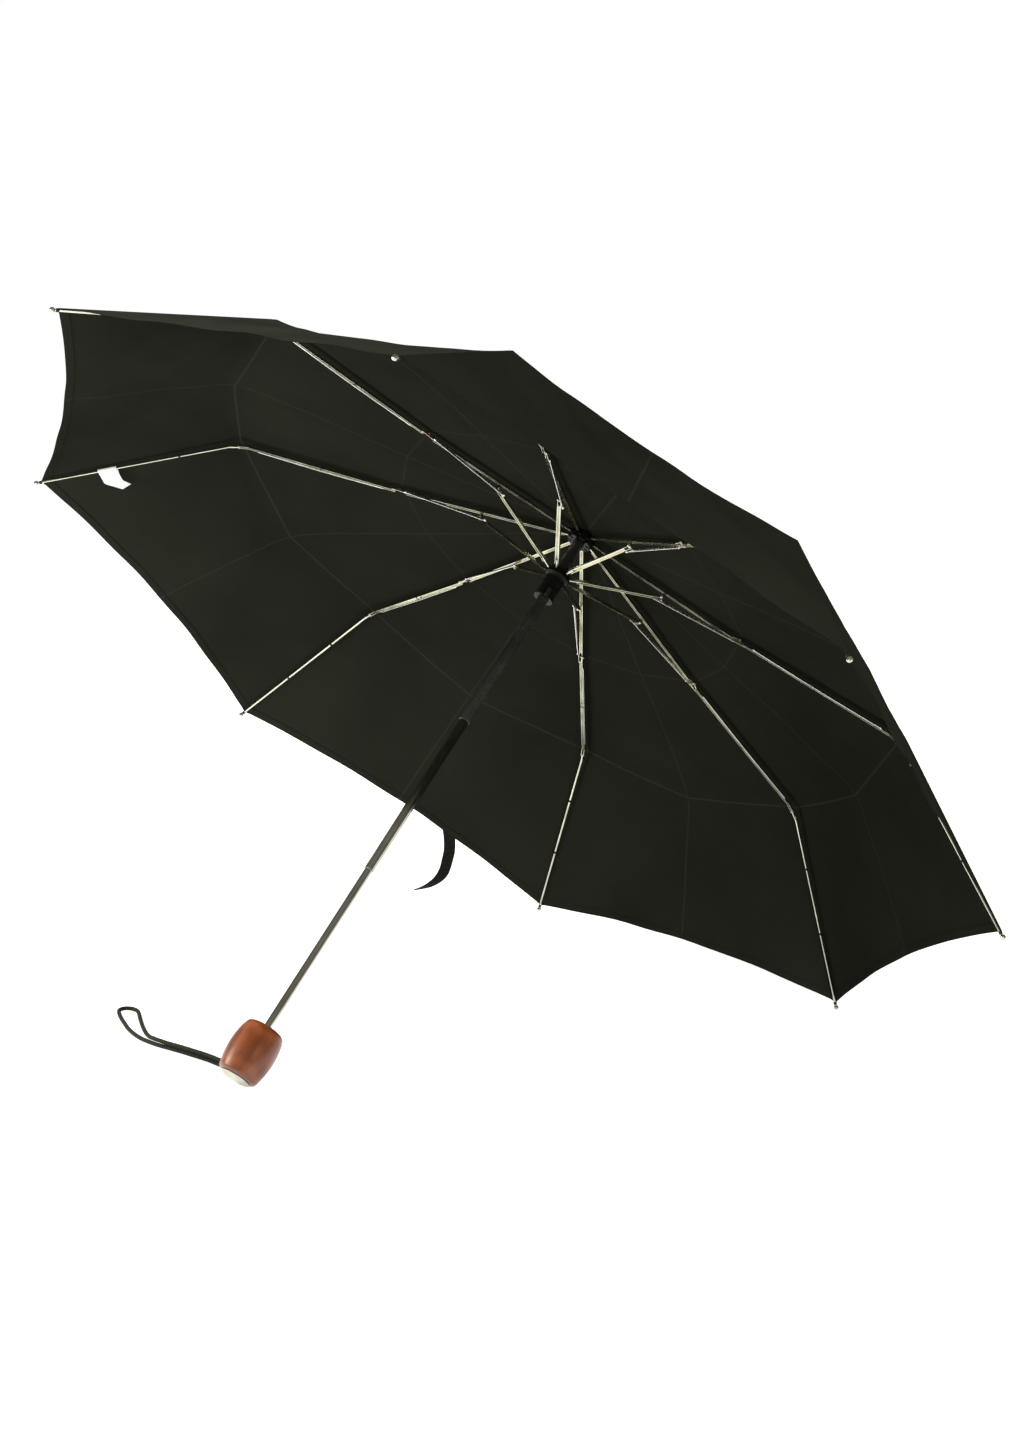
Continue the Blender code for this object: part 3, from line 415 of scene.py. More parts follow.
def cloth_normals(k, s, zone, t):
    """Smooth normals of the outside, the same on both sides of every cut inside a gore."""
    step = 0.004
    s0, s1 = np.clip(s - step, 0.0, 1.0), np.clip(s + step, 0.0, 1.0)
    across = cloth(k, s1, zone, t)[0] - cloth(k, s0, zone, t)[0]
    along = cloth(k, s, zone, t + step)[0] - cloth(k, s, zone, t - step)[0]
    normal = unit(np.cross(along, across))
    return normal * np.sign(normal[..., 2:3])


def grid_piece(name, k, zone, columns, rows, body, material):
    """One cut of the gore as a mesh, from columns and rows.

    A column is (share, depth, flap width, side) and a row is (t, depth).
    """
    s = np.zeros((len(rows), len(columns)))
    depth = np.zeros_like(s)
    t = np.array([[row[0]] * len(columns) for row in rows])
    for i, (share, deep, flap, side) in enumerate(columns):
        s[:, i] = share
        depth[:, i] = deep
        if flap:
            width = cloth(k, 0.5, zone, t[:, i])[1]["across"] * 2.0
            inset = np.minimum(flap / width, 0.45)
            s[:, i] = inset if side == 0 else 1.0 - inset
    depth = depth + np.array([[row[1]] * len(columns) for row in rows])
    place, facts = cloth(k, s, zone, t, depth)
    normals = cloth_normals(k, s, zone, t)
    matrix = np.array(AXIS)
    flat = place.reshape(-1, 3) @ matrix[:3, :3].T + matrix[:3, 3]
    mesh = bpy.data.meshes.new(name)
    wide = len(columns)
    faces = []
    for r in range(len(rows) - 1):
        for c in range(wide - 1):
            a = r * wide + c
            faces.append((a, a + 1, a + wide + 1, a + wide))
    mesh.from_pydata(flat.tolist(), [], faces)
    uv = mesh.uv_layers.new(name="metres")
    loops = np.array([loop.vertex_index for loop in mesh.loops])
    plane = np.stack([facts["across"].ravel(), facts["run"].ravel()], 1)[loops]
    uv.data.foreach_set("uv", plane.ravel())
    for key in CLOTH_FACTS:
        layer = mesh.attributes.new(key, "FLOAT", "POINT")
        layer.data.foreach_set("value", facts[key].ravel())
    mesh.update()
    turn = normals.reshape(-1, 3) @ matrix[:3, :3].T
    mesh.shade_smooth()
    split = []
    for face in mesh.polygons:
        sign = 1.0 if np.dot(np.array(face.normal), turn[face.vertices[0]]) > 0.0 else -1.0
        split.extend(turn[list(face.vertices)] * sign)
    mesh.normals_split_custom_set([tuple(v) for v in split])
    mesh.materials.append(material)
    obj = link_new(bpy.data.objects.new(name, mesh))
    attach(obj, body)
    return obj


ZONE_BODIES = {1: "top_rib", 2: "mid_rib", 3: "outer_rib"}
ZONE_ROWS = {1: 22, 2: 22, 3: 30}
OUTER_ZONE, OUTER_SPAN = 3, 0.19
HEM_FOLD = 8.0 * MM
SEAM_FOLD = 4.5 * MM


def zone_rows(zone):
    """Rows of (t, depth) along a zone. The outer zone's last rows turn the hem back inside."""
    count = ZONE_ROWS[zone]
    rows = [(i / count, 0.0) for i in range(count + 1)]
    if zone == OUTER_ZONE:
        edge = HEM_FOLD / OUTER_SPAN
        rows += [(1.0 + 0.001, 0.35 * MM), (1.0 - 0.004, 0.7 * MM),
                 (1.0 - edge * 0.5, 0.85 * MM), (1.0 - edge, 0.8 * MM)]
    return rows


def gather(piece):
    """Give one piece its own copy of its mesh."""
    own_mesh(piece)


def build_crown(material):
    """One round piece of cloth about the notch, where all the gores meet."""
    steps = 6
    shape = Shape()
    rows = []
    for r in range(steps + 1):
        rows.append([world_point(cloth(k, i / steps, 0, r / steps)[0])
                     for k in SPOKES for i in range(steps)])
    shape.grid(rows, closed=True)
    middle = world_point((0.0, 0.0, STATIONS[0][1]))
    side = AXIS.to_3x3() @ Vector((1.0, 0.0, 0.0))
    other = AXIS.to_3x3() @ Vector((0.0, 1.0, 0.0))
    shape.uvs = [((p - middle).dot(side), (p - middle).dot(other)) for row in rows for p in row]
    crown = shape.make("canopy_crown", material, "upper_tube", "canopy", angle=180.0)
    for key in CLOTH_FACTS:
        layer = crown.data.attributes.new(key, "FLOAT", "POINT")
        layer.data.foreach_set("value", [0.1] * len(crown.data.vertices))
    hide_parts("canopy")
    return crown


def build_canopy():
    material = cloth_material()
    steps = 14
    pieces = []
    for k in SPOKES:
        for side in (0, 1):
            spoke = k if side == 0 else k % 8 + 1
            shares = [0.5 * (i / steps) ** 1.15 for i in range(steps + 1)]
            if side == 1:
                shares = [1.0 - share for share in shares]
            flat_columns = [(share, 0.0, 0.0, side) for share in shares]
            edge = 0.0 if side == 0 else 1.0
            fold = [(edge, 0.55 * MM, SEAM_FOLD, side), (edge, 0.5 * MM, 0.0, side)]
            for zone, body in ZONE_BODIES.items():
                name = f"canopy_{body}_{spoke}_{'right' if side == 0 else 'left'}"
                piece = grid_piece(name, k, zone, fold + flat_columns, zone_rows(zone),
                                   f"{body}_{spoke}", material)
                gather(piece)
                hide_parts("canopy")
                pieces.append((piece, zone))
    pieces.append((build_crown(material), 0))
    return pieces


def sheet_facts(piece):
    """Flat width, length and area of one cut of cloth."""
    mesh = piece.data
    area = sum(p.area for p in mesh.polygons)
    uv = np.zeros(len(mesh.loops) * 2)
    mesh.uv_layers[0].data.foreach_get("uv", uv)
    uv = uv.reshape(-1, 2)
    size = uv.max(0) - uv.min(0)
    return float(size[0]), float(size[1]), area


# ------------------------------------------------------------------ mesh helpers

def catmull(points, steps):
    """Smooth points, a fixed number of steps between each two given points."""
    points = [Vector(p) for p in points]
    rows = []
    for i in range(len(points) - 1):
        a, b, c = points[max(i - 1, 0)], points[i], points[i + 1]
        d = points[min(i + 2, len(points) - 1)]
        for j in range(steps):
            t = j / steps
            rows.append(0.5 * (2.0 * b + (c - a) * t + (2.0 * a - 5.0 * b + 4.0 * c - d) * t * t
                               + (3.0 * b - a - 3.0 * c + d) * t ** 3))
    rows.append(points[-1])
    return rows


def even(points, spacing):
    """Points at an even spacing along a line of points."""
    points = np.array([tuple(p) for p in points])
    marks = np.concatenate([[0.0], np.cumsum(np.linalg.norm(np.diff(points, axis=0), axis=1))])
    goals = np.linspace(0.0, marks[-1], max(2, round(marks[-1] / spacing)) + 1)
    return np.stack([np.interp(goals, marks, points[:, i]) for i in range(3)], 1)


class Shape:
    """Turned parts, tubes and grids, gathered in one mesh."""

    def __init__(self):
        self.verts = []
        self.faces = []
        self.marks = []
        self.uvs = None

    def grid(self, rows, closed=False, marks=None):
        """Faces between equal rows of points. A closed grid joins each row's end to its start."""
        base, wide = len(self.verts), len(rows[0])
        for i, row in enumerate(rows):
            self.verts.extend(tuple(p) for p in row)
            self.marks.extend(marks[i] if marks is not None else [0.0] * wide)
        last = wide if closed else wide - 1
        for r in range(len(rows) - 1):
            for c in range(last):
                a, b = base + r * wide + c, base + r * wide + (c + 1) % wide
                self.faces.append((a, b, b + wide, a + wide))
        return base

    def fan(self, ring, centre, flip=False):
        """Close a ring of point numbers with triangles to a middle point."""
        self.verts.append(tuple(centre))
        self.marks.append(0.0)
        tip = len(self.verts) - 1
        for i, a in enumerate(ring):
            b = ring[(i + 1) % len(ring)]
            self.faces.append((b, a, tip) if flip else (a, b, tip))

    def turned(self, profile, place, sides):
        """Spin (radius, height) points about the place's Z. The first and last lie on the axis."""
        rows = []
        turns = [TAU * i / sides for i in range(sides)]
        for r, z in profile[1:-1]:
            rows.append([place @ Vector((r * math.cos(a), r * math.sin(a), z)) for a in turns])
        base = self.grid(rows, closed=True)
        end = base + (len(rows) - 1) * sides
        foot = place @ Vector((0.0, 0.0, profile[0][1]))
        self.fan(list(range(base, base + sides)), foot, flip=True)
        self.fan(list(range(end, end + sides)), place @ Vector((0.0, 0.0, profile[-1][1])))

    def tube(self, path, radius, sides, relief=None):
        """A round tube with closed ends. relief gives (extra radius, mark) from turn and run."""
        path = [Vector(p) for p in path]
        last = len(path) - 1
        ways = [(path[min(i + 1, last)] - path[max(i - 1, 0)]).normalized() for i in range(last + 1)]
        across = ways[0].orthogonal().normalized()
        rows, marks, run = [], [], 0.0
        for i, (point, way) in enumerate(zip(path, ways)):
            across = (across - way * across.dot(way)).normalized()
            other = way.cross(across)
            if i:
                run += (point - path[i - 1]).length
            row, mark = [], []
            for j in range(sides):
                turn = TAU * j / sides
                extra, tone = relief(turn, run) if relief else (0.0, 0.0)
                size = radius + extra
                row.append(point + (across * math.cos(turn) + other * math.sin(turn)) * size)
                mark.append(tone)
            rows.append(row)
            marks.append(mark)
        base = self.grid(rows, closed=True, marks=marks)
        end = base + (len(rows) - 1) * sides
        self.fan(list(range(base, base + sides)), path[0], flip=True)
        self.fan(list(range(end, end + sides)), path[-1])

    def make(self, name, material, body, slot, angle=40.0):
        mesh = bpy.data.meshes.new(name)
        mesh.from_pydata(self.verts, [], self.faces)
        mesh.attributes.new("mark", "FLOAT", "POINT").data.foreach_set("value", self.marks)
        local = (np.array(self.verts) - np.array(NOTCH)) @ np.array(AXIS)[:3, :3]
        layer = mesh.attributes.new("local", "FLOAT_VECTOR", "POINT")
        layer.data.foreach_set("vector", local.ravel())
        if self.uvs:
            layer = mesh.uv_layers.new(name="metres")
            flat = [c for loop in mesh.loops for c in self.uvs[loop.vertex_index]]
            layer.uv.foreach_set("vector", flat)
        mesh.materials.append(material)
        bm = bmesh.new()
        bm.from_mesh(mesh)
        bmesh.ops.recalc_face_normals(bm, faces=bm.faces)
        bm.to_mesh(mesh)
        bm.free()
        obj = link_new(bpy.data.objects.new(name, mesh))
        mesh.shade_smooth()
        if angle < 180.0:
            mesh.set_sharp_from_angle(angle=math.radians(angle))
        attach(obj, body)
        return obj


def along_x(place, x, y, z, flip):
    """A placement whose Z points along the place's X, or against it, for rivet heads."""
    turn = Matrix.Rotation(flip * TAU / 4.0, 4, "Y")
    return place @ Matrix.Translation((x * MM, y * MM, z * MM)) @ turn


def both_sides(place, x, y, z):
    return [along_x(place, x, y, z, 1.0), along_x(place, -x, y, z, -1.0)]


def dome(radius, height):
    """Outline of a domed rivet head on its seat at height 0, with its root below the seat."""
    root = -0.3 * MM
    points = [(0.0, root), (radius, root), (radius, 0.12 * height)]
    rings = 5
    for i in range(1, rings + 1):
        turn = TAU / 4.0 * i / rings
        points.append((radius * math.cos(turn), (0.12 + 0.88 * math.sin(turn)) * height))
    points[-1] = (0.0, height)
    return points


# ------------------------------------------------------------------ materials of the parts

def shaft_coordinates(n):
    """Object coordinates at rest, turned so that Z runs along the shaft."""
    mapping = n.add("ShaderNodeMapping")
    mapping.inputs["Rotation"].default_value = (-math.atan2(FRONT.z, FRONT.y), 0.0, 0.0)
    n.link(n.add("ShaderNodeTexCoord").outputs["Object"], mapping.inputs["Vector"])
    return mapping.outputs["Vector"]


def stretched(n, vector, scale):
    mapping = n.add("ShaderNodeMapping")
    mapping.inputs["Scale"].default_value = scale
    n.link(vector, mapping.inputs["Vector"])
    return mapping.outputs["Vector"]


def metal_material(name, dark, light, rough, streak_scale, pits=0.25, metallic=1.0):
    """Bright metal with fine streaks, slight tarnish and scratches."""
    made, shader = new_material(name)
    n = Nodes(made)
    place = shaft_coordinates(n)
    streaks = n.noise(stretched(n, place, streak_scale), 1.0, 4.0)
    tarnish = n.noise(place, 45.0, 4.0)
    n.link(n.ramp(tarnish, (0.32, dark), (0.62, light)), shader.inputs["Base Color"])
    shader.inputs["Metallic"].default_value = metallic
    low = n.math("MULTIPLY_ADD", streaks, 0.22, rough - 0.08)
    n.link(n.math("ADD", low, n.math("MULTIPLY", tarnish, 0.06)), shader.inputs["Roughness"])
    height = n.math("MULTIPLY", n.math("ADD", streaks, n.noise(place, 900.0, 2.0)), pits)
    n.link(n.bump(height, 0.05 * MM, 0.35), shader.inputs["Normal"])
    return made


def plastic_material():
    made, shader = new_material("moulded_plastic")
    n = Nodes(made)
    place = shaft_coordinates(n)
    haze = n.noise(place, 60.0, 4.0)
    colour = n.ramp(haze, (0.3, (0.006, 0.006, 0.0055)), (0.75, (0.014, 0.014, 0.012)))
    n.link(colour, shader.inputs["Base Color"])
    n.link(n.math("MULTIPLY_ADD", haze, 0.22, 0.08), shader.inputs["Roughness"])
    shader.inputs["Specular IOR Level"].default_value = 0.06
    n.link(n.bump(n.noise(place, 700.0, 2.0), 0.04 * MM, 0.4), shader.inputs["Normal"])
    return made


def wood_material():
    """Lacquered red-brown wood with its grain along the shaft."""
    made, shader = new_material("lacquered_wood")
    n = Nodes(made)
    local = n.add("ShaderNodeAttribute", attribute_name="local").outputs["Vector"]
    figure = n.noise(stretched(n, local, (60.0, 60.0, 9.0)), 1.0, 5.0)
    fibre = n.noise(stretched(n, local, (900.0, 900.0, 45.0)), 1.0, 4.0)
    rings = n.add("ShaderNodeTexWave", wave_type="RINGS", rings_direction="Z")
    rings.inputs["Scale"].default_value = 95.0
    rings.inputs["Distortion"].default_value = 3.5
    rings.inputs["Detail"].default_value = 3.0
    n.link(stretched(n, local, (1.0, 1.0, 0.12)), rings.inputs["Vector"])
    waves = n.math("MULTIPLY", rings.outputs["Fac"], 0.20)
    tone = n.math("ADD", n.math("MULTIPLY", figure, 0.62), waves)
    tone = n.math("ADD", tone, n.math("MULTIPLY", fibre, 0.24))
    colour = n.ramp(tone, (0.22, (0.060, 0.014, 0.004)), (0.48, (0.135, 0.034, 0.010)),
                    (0.80, (0.215, 0.064, 0.020)))
    n.link(colour, shader.inputs["Base Color"])
    n.link(n.math("MULTIPLY_ADD", fibre, 0.16, 0.34), shader.inputs["Roughness"])
    shader.inputs["Specular IOR Level"].default_value = 0.35
    shader.inputs["Coat Weight"].default_value = 0.6
    shader.inputs["Coat Roughness"].default_value = 0.3
    n.link(n.bump(fibre, 0.05 * MM, 0.35), shader.inputs["Normal"])
    return made


def braid_material():
    made, shader = new_material("braided_cord")
    n = Nodes(made)
    local = n.add("ShaderNodeAttribute", attribute_name="local").outputs["Vector"]
    # The mark is painted shade: darker in the grooves between the braid's strands, lighter on their
    # crowns.
    tone = n.attribute("mark")
    fleck = n.noise(local, 700.0, 3.0)
    mix = n.math("ADD", n.math("MULTIPLY", tone, 0.55), n.math("MULTIPLY", fleck, 0.45))
    colour = n.ramp(mix, (0.25, (0.004, 0.0045, 0.003)), (0.55, (0.014, 0.017, 0.011)),
                    (0.85, (0.060, 0.050, 0.030)))
    n.link(colour, shader.inputs["Base Color"])
    shader.inputs["Roughness"].default_value = 0.62
    shader.inputs["Specular IOR Level"].default_value = 0.12
    n.link(n.bump(n.noise(local, 2600.0, 2.0), 0.12 * MM, 0.6), shader.inputs["Normal"])
    return made


def thread_material():
    made, shader = new_material("black_thread")
    n = Nodes(made)
    place = shaft_coordinates(n)
    twist = n.noise(place, 1500.0, 2.0)
    colour = n.ramp(twist, (0.3, (0.006, 0.006, 0.005)), (0.7, (0.020, 0.020, 0.017)))
    n.link(colour, shader.inputs["Base Color"])
    shader.inputs["Roughness"].default_value = 0.6
    n.link(n.bump(twist, 0.1 * MM, 0.5), shader.inputs["Normal"])
    return made


def ribbon_material(name, dark, light, scale, rough, sheen):
    """Woven tape: threads along and across the strip, from its own flat map."""
    made, shader = new_material(name)
    n = Nodes(made)
    uv = n.add("ShaderNodeTexCoord").outputs["UV"]
    fill = n.noise(uv, 260.0, 3.0)
    n.link(n.ramp(fill, (0.3, dark), (0.7, light)), shader.inputs["Base Color"])
    shader.inputs["Roughness"].default_value = rough
    shader.inputs["Specular IOR Level"].default_value = 0.08
    shader.inputs["Sheen Weight"].default_value = sheen
    height = n.math("MAXIMUM", n.bands(uv, "X", scale), n.bands(uv, "Y", scale))
    n.link(n.bump(height, 0.12 * MM, 0.6), shader.inputs["Normal"])
    return made


# Each metal's darkest and lightest tone, roughness and streak scale, then its pits and metal share.
RIB_STEEL = metal_material("nickel_plate", (0.46, 0.45, 0.35), (0.70, 0.69, 0.56), 0.12,
                           (900.0, 900.0, 900.0))
BLACK_CHROME = metal_material("black_chrome", (0.040, 0.040, 0.034), (0.062, 0.061, 0.053), 0.20,
                              (160.0, 160.0, 3.0), 0.02, 0.55)
CAP_NICKEL = metal_material("cap_nickel", (0.36, 0.34, 0.27), (0.54, 0.52, 0.43), 0.30,
                            (300.0, 300.0, 300.0), 0.05)
CHROME = metal_material("tube_chrome", (0.44, 0.42, 0.355), (0.60, 0.58, 0.51), 0.04,
                        (160.0, 160.0, 3.0), 0.02)
BRIGHT = metal_material("bright_rivet", (0.78, 0.77, 0.70), (0.90, 0.89, 0.83), 0.20,
                        (500.0, 500.0, 500.0))
BRONZE = metal_material("bronze_rivet", (0.20, 0.105, 0.065), (0.34, 0.20, 0.12), 0.38,
                        (500.0, 500.0, 500.0))
PLASTIC = plastic_material()
BLACK_THREAD = thread_material()
NODE_MATERIALS = {
    "top_notch": PLASTIC, "top_cap": PLASTIC, "runner": PLASTIC,
    "middle_tube": CHROME, "lower_tube": CHROME, "handle_cap": CAP_NICKEL,
    "upper_tube": BLACK_CHROME, "upper_tube_catch": BLACK_CHROME,
    "runner_catch": BLACK_CHROME, "runner_ring": BLACK_CHROME,
    "middle_tube_catch": BRIGHT, "notch_ring": BRIGHT}


def finish_cad_nodes():
    """Give every CAD node that stays in view its own material."""
    for name, obj in NODES.items():
        usual = BRIGHT if name.startswith("link_bar") else RIB_STEEL
        for slot in obj.material_slots:
            slot.material = NODE_MATERIALS.get(name, usual)


# ------------------------------------------------------------------ wrist cord

CORD_RADIUS = 1.85 * MM
CORD_ROUTE = [
    (-12.3, -251.2, 14.6), (-16.7, -249.1, 12.7), (-21.0, -247.1, 10.9), (-26.0, -245.0, 9.0),
    (-33.0, -242.9, 7.0), (-44.0, -241.4, 5.9), (-58.0, -241.9, 5.8), (-72.0, -244.3, 5.8),
    (-86.0, -247.0, 5.8), (-98.0, -249.9, 5.8), (-108.0, -251.4, 5.7), (-117.0, -250.4, 4.8),
    (-126.0, -247.2, 3.0), (-135.0, -243.0, 1.9), (-147.0, -236.4, 1.9), (-160.0, -228.0, 1.9),
    (-172.0, -219.8, 1.9), (-181.4, -213.4, 1.9), (-187.4, -211.6, 1.9), (-192.6, -213.0, 1.9),
    (-195.6, -217.8, 1.9), (-194.6, -223.4, 1.9), (-190.2, -227.8, 1.9), (-180.4, -234.2, 1.9),
    (-168.0, -240.6, 1.9), (-155.0, -247.0, 1.9), (-142.0, -251.4, 1.9), (-130.0, -253.8, 1.9),
    (-119.0, -253.8, 1.9), (-108.0, -252.4, 1.9), (-98.0, -249.9, 1.9), (-86.0, -247.0, 1.9),
    (-72.0, -244.3, 1.9), (-58.0, -241.9, 1.9), (-44.0, -241.4, 2.0), (-33.0, -242.9, 3.1),
    (-25.0, -245.6, 5.1), (-19.7, -247.7, 7.1), (-15.5, -249.7, 8.9), (-11.1, -251.8, 10.7)]
BRAID_STRANDS = 8
BRAID_PITCH = 5.2 * MM
BRAID_RELIEF = 0.26 * MM


def braid(turn, run):
    """Height and tone of a diamond braid at a turn round the cord and a run along it. The tone is
    painted shade: lighter on each strand's crown and darker in the grooves between strands; the strands
    that run one way are a step darker.
    """
    round_share = turn / TAU * BRAID_STRANDS
    climb = run / BRAID_PITCH * 2.0
    u, v = round_share + climb, round_share - climb
    over = (math.floor(u) + math.floor(v)) % 2 == 0
    share = (u if over else v) % 1.0
    crown = math.sqrt(max(0.0, 1.0 - (2.0 * share - 1.0) ** 2))
    return (crown - 1.0) * BRAID_RELIEF, 0.25 + 0.6 * crown - (0.0 if over else 0.22)


def cord_path(spacing):
    return even([Vector(p) * MM for p in catmull(CORD_ROUTE, 24)], spacing)


def build_cord():
    route = cord_path(0.5 * MM)
    cord = Shape()
    cord.tube(route, CORD_RADIUS, 24, relief=braid)
    cord = cord.make("wrist_cord_braid", braid_material(), "handle", "wrist_cord", angle=180.0)
    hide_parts("wrist_cord")
    seam = cord_stitches(route)


def cord_stitches(route):
    """Zigzag stitches that sew the two runs of the cord together near the knob."""
    route = np.array(route)
    half = len(route) // 2
    upper, lower = route[:half], route[half:][::-1]
    threads = Shape()
    start, end, pitch = -34.0 * MM, -108.0 * MM, 2.1 * MM
    count = int((start - end) / pitch)
    for i in range(count):
        ends = []
        for run, x in ((upper, start - pitch * i), (lower, start - pitch * (i + 0.5))):
            ends.append(Vector(run[int(np.argmin(np.abs(run[:, 0] - x)))]))
        for back in (-1.0, 1.0):
            side = Vector((0.0, back, 0.0))
            bulge = (ends[0] + ends[1]) * 0.5 + side * (CORD_RADIUS * 0.62)
            top = ends[0] + side * (CORD_RADIUS * 0.98) + (ends[1] - ends[0]) * 0.12
            low = ends[1] + side * (CORD_RADIUS * 0.98) + (ends[0] - ends[1]) * 0.12
            stitch = [top - side * 0.3 * MM, top + side * 0.12 * MM, bulge + side * 0.25 * MM,
                      low + side * 0.12 * MM, low - side * 0.3 * MM]
            threads.tube(stitch, 0.24 * MM, 6)
    return threads.make("wrist_cord_stitches", BLACK_THREAD, "handle", "wrist_cord", angle=180.0)


# ------------------------------------------------------------------ handle

HANDLE_TOP_Z = -520.0 * MM
KNOB_HEIGHT = 47.0 * MM
KNOB_BORE, BORE_DEPTH = 3.8 * MM, 37.0 * MM
END_FLAT, END_ROUND = 13.9 * MM, 4.0 * MM
# The cord's hole in the knob: its turn about the shaft, height, radius and depth from outside.
ENTRY_TURN, ENTRY_Z = -32.0, -557.0 * MM
ENTRY_RADIUS, ENTRY_START, ENTRY_LENGTH = 4.6 * MM, -30.0 * MM, 16.5 * MM


def knob_outline():
    """Closed outline of the knob, as (radius, z), with its bore for the shaft."""
    shoulder, side_top, end_radius, end_shoulder = 6.5 * MM, 17.6 * MM, 17.4 * MM, 5.0 * MM
    top, bottom, widest = HANDLE_TOP_Z, HANDLE_TOP_Z - KNOB_HEIGHT, 20.6 * MM
    points = [(0.0, top - BORE_DEPTH), (KNOB_BORE, top - BORE_DEPTH),
              (KNOB_BORE, top - 0.5 * MM), (KNOB_BORE + 0.4 * MM, top - 0.05 * MM)]
    for i in range(11):
        turn = TAU / 4.0 * i / 10.0
        points.append((side_top - shoulder + shoulder * math.sin(turn),
                       top - 0.75 * shoulder * (1.0 - math.cos(turn))))
    start_z, end_z = points[-1][1], bottom + end_shoulder
    for i in range(1, 24):
        t = i / 24.0
        bulge = math.sin(math.pi * min(1.0, t * 0.94 + 0.02)) ** 0.8
        points.append((side_top + (end_radius - side_top) * t + (widest - side_top) * bulge,
                       start_z + (end_z - start_z) * t))
    for i in range(1, 9):
        turn = TAU / 4.0 * i / 8.0
        points.append((END_FLAT + END_ROUND * math.cos(turn), end_z - end_shoulder * math.sin(turn)))
    return points + [(0.0, bottom)]


def build_handle():
    knob = Shape()
    knob.turned(knob_outline(), AXIS, 128)
    knob = knob.make("handle_knob_wood", wood_material(), "handle", "handle_knob", angle=50.0)
    cut = Shape()
    entry = (AXIS @ Matrix.Rotation(math.radians(ENTRY_TURN), 4, "Z")
             @ Matrix.Translation((ENTRY_START, 0.0, ENTRY_Z)) @ Matrix.Rotation(TAU / 4.0, 4, "Y"))
    cut.turned([(0.0, 0.0), (ENTRY_RADIUS, 0.0), (ENTRY_RADIUS, ENTRY_LENGTH),
                (0.0, ENTRY_LENGTH)], entry, 40)
    cutter_mesh = bpy.data.meshes.new("cord_entry")
    cutter_mesh.from_pydata(cut.verts, [], cut.faces)
    cutter = link_new(bpy.data.objects.new("cord_entry", cutter_mesh))
    boolean = knob.modifiers.new("cord_entry", "BOOLEAN")
    boolean.object = cutter
    boolean.solver = "EXACT"
    finished = knob.evaluated_get(bpy.context.evaluated_depsgraph_get())
    shaped = bpy.data.meshes.new_from_object(finished)
    knob.modifiers.clear()
    knob.data = shaped
    bpy.data.objects.remove(cutter)
    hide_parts("handle_knob")


# ------------------------------------------------------------------ ribs: rivets, wires and ties

def coil(shape, place, y, z, half, turns, thread):
    """Turns of thread wound round a rib along the place's Y. half is half its width and height."""
    steps = 16
    points = []
    for i in range(turns * steps + 1):
        turn = TAU * i / steps
        x, up = math.cos(turn), math.sin(turn)
        square = 1.0 / (x ** 4 + up ** 4) ** 0.25 if half[0] != half[1] else 1.0
        along = y + (i / (turns * steps) - 0.5) * turns * 2.1 * thread
        points.append(place @ Vector((half[0] * x * square, along, z + half[1] * up * square)))
    shape.tube(points, thread, 6)


# Millimetres in a middle rib's own frame.
WIRE_ROUTE = [(1.0, 14.0, -2.4), (2.25, 17.0, -2.6), (2.4, 24.0, -2.9), (2.5, 80.0, -3.4),
              (2.4, 138.0, -2.9), (2.25, 146.0, -2.6), (1.0, 149.0, -2.4)]


def rivets(name, head, places, material, body):
    shape = Shape()
    for place in places:
        shape.turned(head, place, 14)
    shape.make(name, material, body, body)


def build_fittings():
    bead, link_head = dome(1.25 * MM, 0.9 * MM), dome(1.35 * MM, 0.9 * MM)
    for k in SPOKES:
        top, mid, outer = top_frame(k), mid_frame(k), outer_frame(k)
        strut, bar = stretcher_frame(k), link_frame(k)
        knee = both_sides(strut, 1.8, 0.0, 0.0) + [along_x(strut, -3.85, 7.0, 0.0, -1.0)]
        rivets(f"knee_rivets_{k}", bead, knee, BRIGHT, f"stretcher_{k}")
        rivets(f"inner_rivets_{k}", bead, both_sides(top, 1.58, 168.0, 2.0), BRONZE, f"top_rib_{k}")
        rivets(f"outer_rivets_{k}", bead, both_sides(mid, 1.48, 164.5, -4.0), BRONZE, f"mid_rib_{k}")
        rivets(f"link_rivet_{k}", link_head, [along_x(bar, -3.5, 81.75, 0.0, -1.0)], BRIGHT,
               f"link_bar_{k}")
        wire = Shape()
        wire.tube([mid @ (Vector(p) * MM) for p in catmull(WIRE_ROUTE, 6)], 0.38 * MM, 8)
        wire.make(f"spring_wire_{k}", BRIGHT, f"mid_rib_{k}", f"mid_rib_{k}", angle=180.0)
        ties = Shape()
        for y in (57.0, 121.0):
            coil(ties, outer, y * MM, 2.0 * MM, (1.35 * MM, 1.35 * MM), 4, 0.24 * MM)
        coil(ties, outer, 189.6 * MM, 2.0 * MM, (1.38 * MM, 1.38 * MM), 5, 0.26 * MM)
        ties.make(f"rib_ties_{k}", BLACK_THREAD, f"outer_rib_{k}", f"outer_rib_{k}", angle=180.0)
        ties = Shape()
        coil(ties, mid, 80.0 * MM, -2.0 * MM, (1.74 * MM, 1.44 * MM), 3, 0.22 * MM)
        ties.make(f"mid_ties_{k}", BLACK_THREAD, f"mid_rib_{k}", f"mid_rib_{k}", angle=180.0)


# ------------------------------------------------------------------ strap and label

STRAP_GORE, STRAP_SPOKE = 3, 4
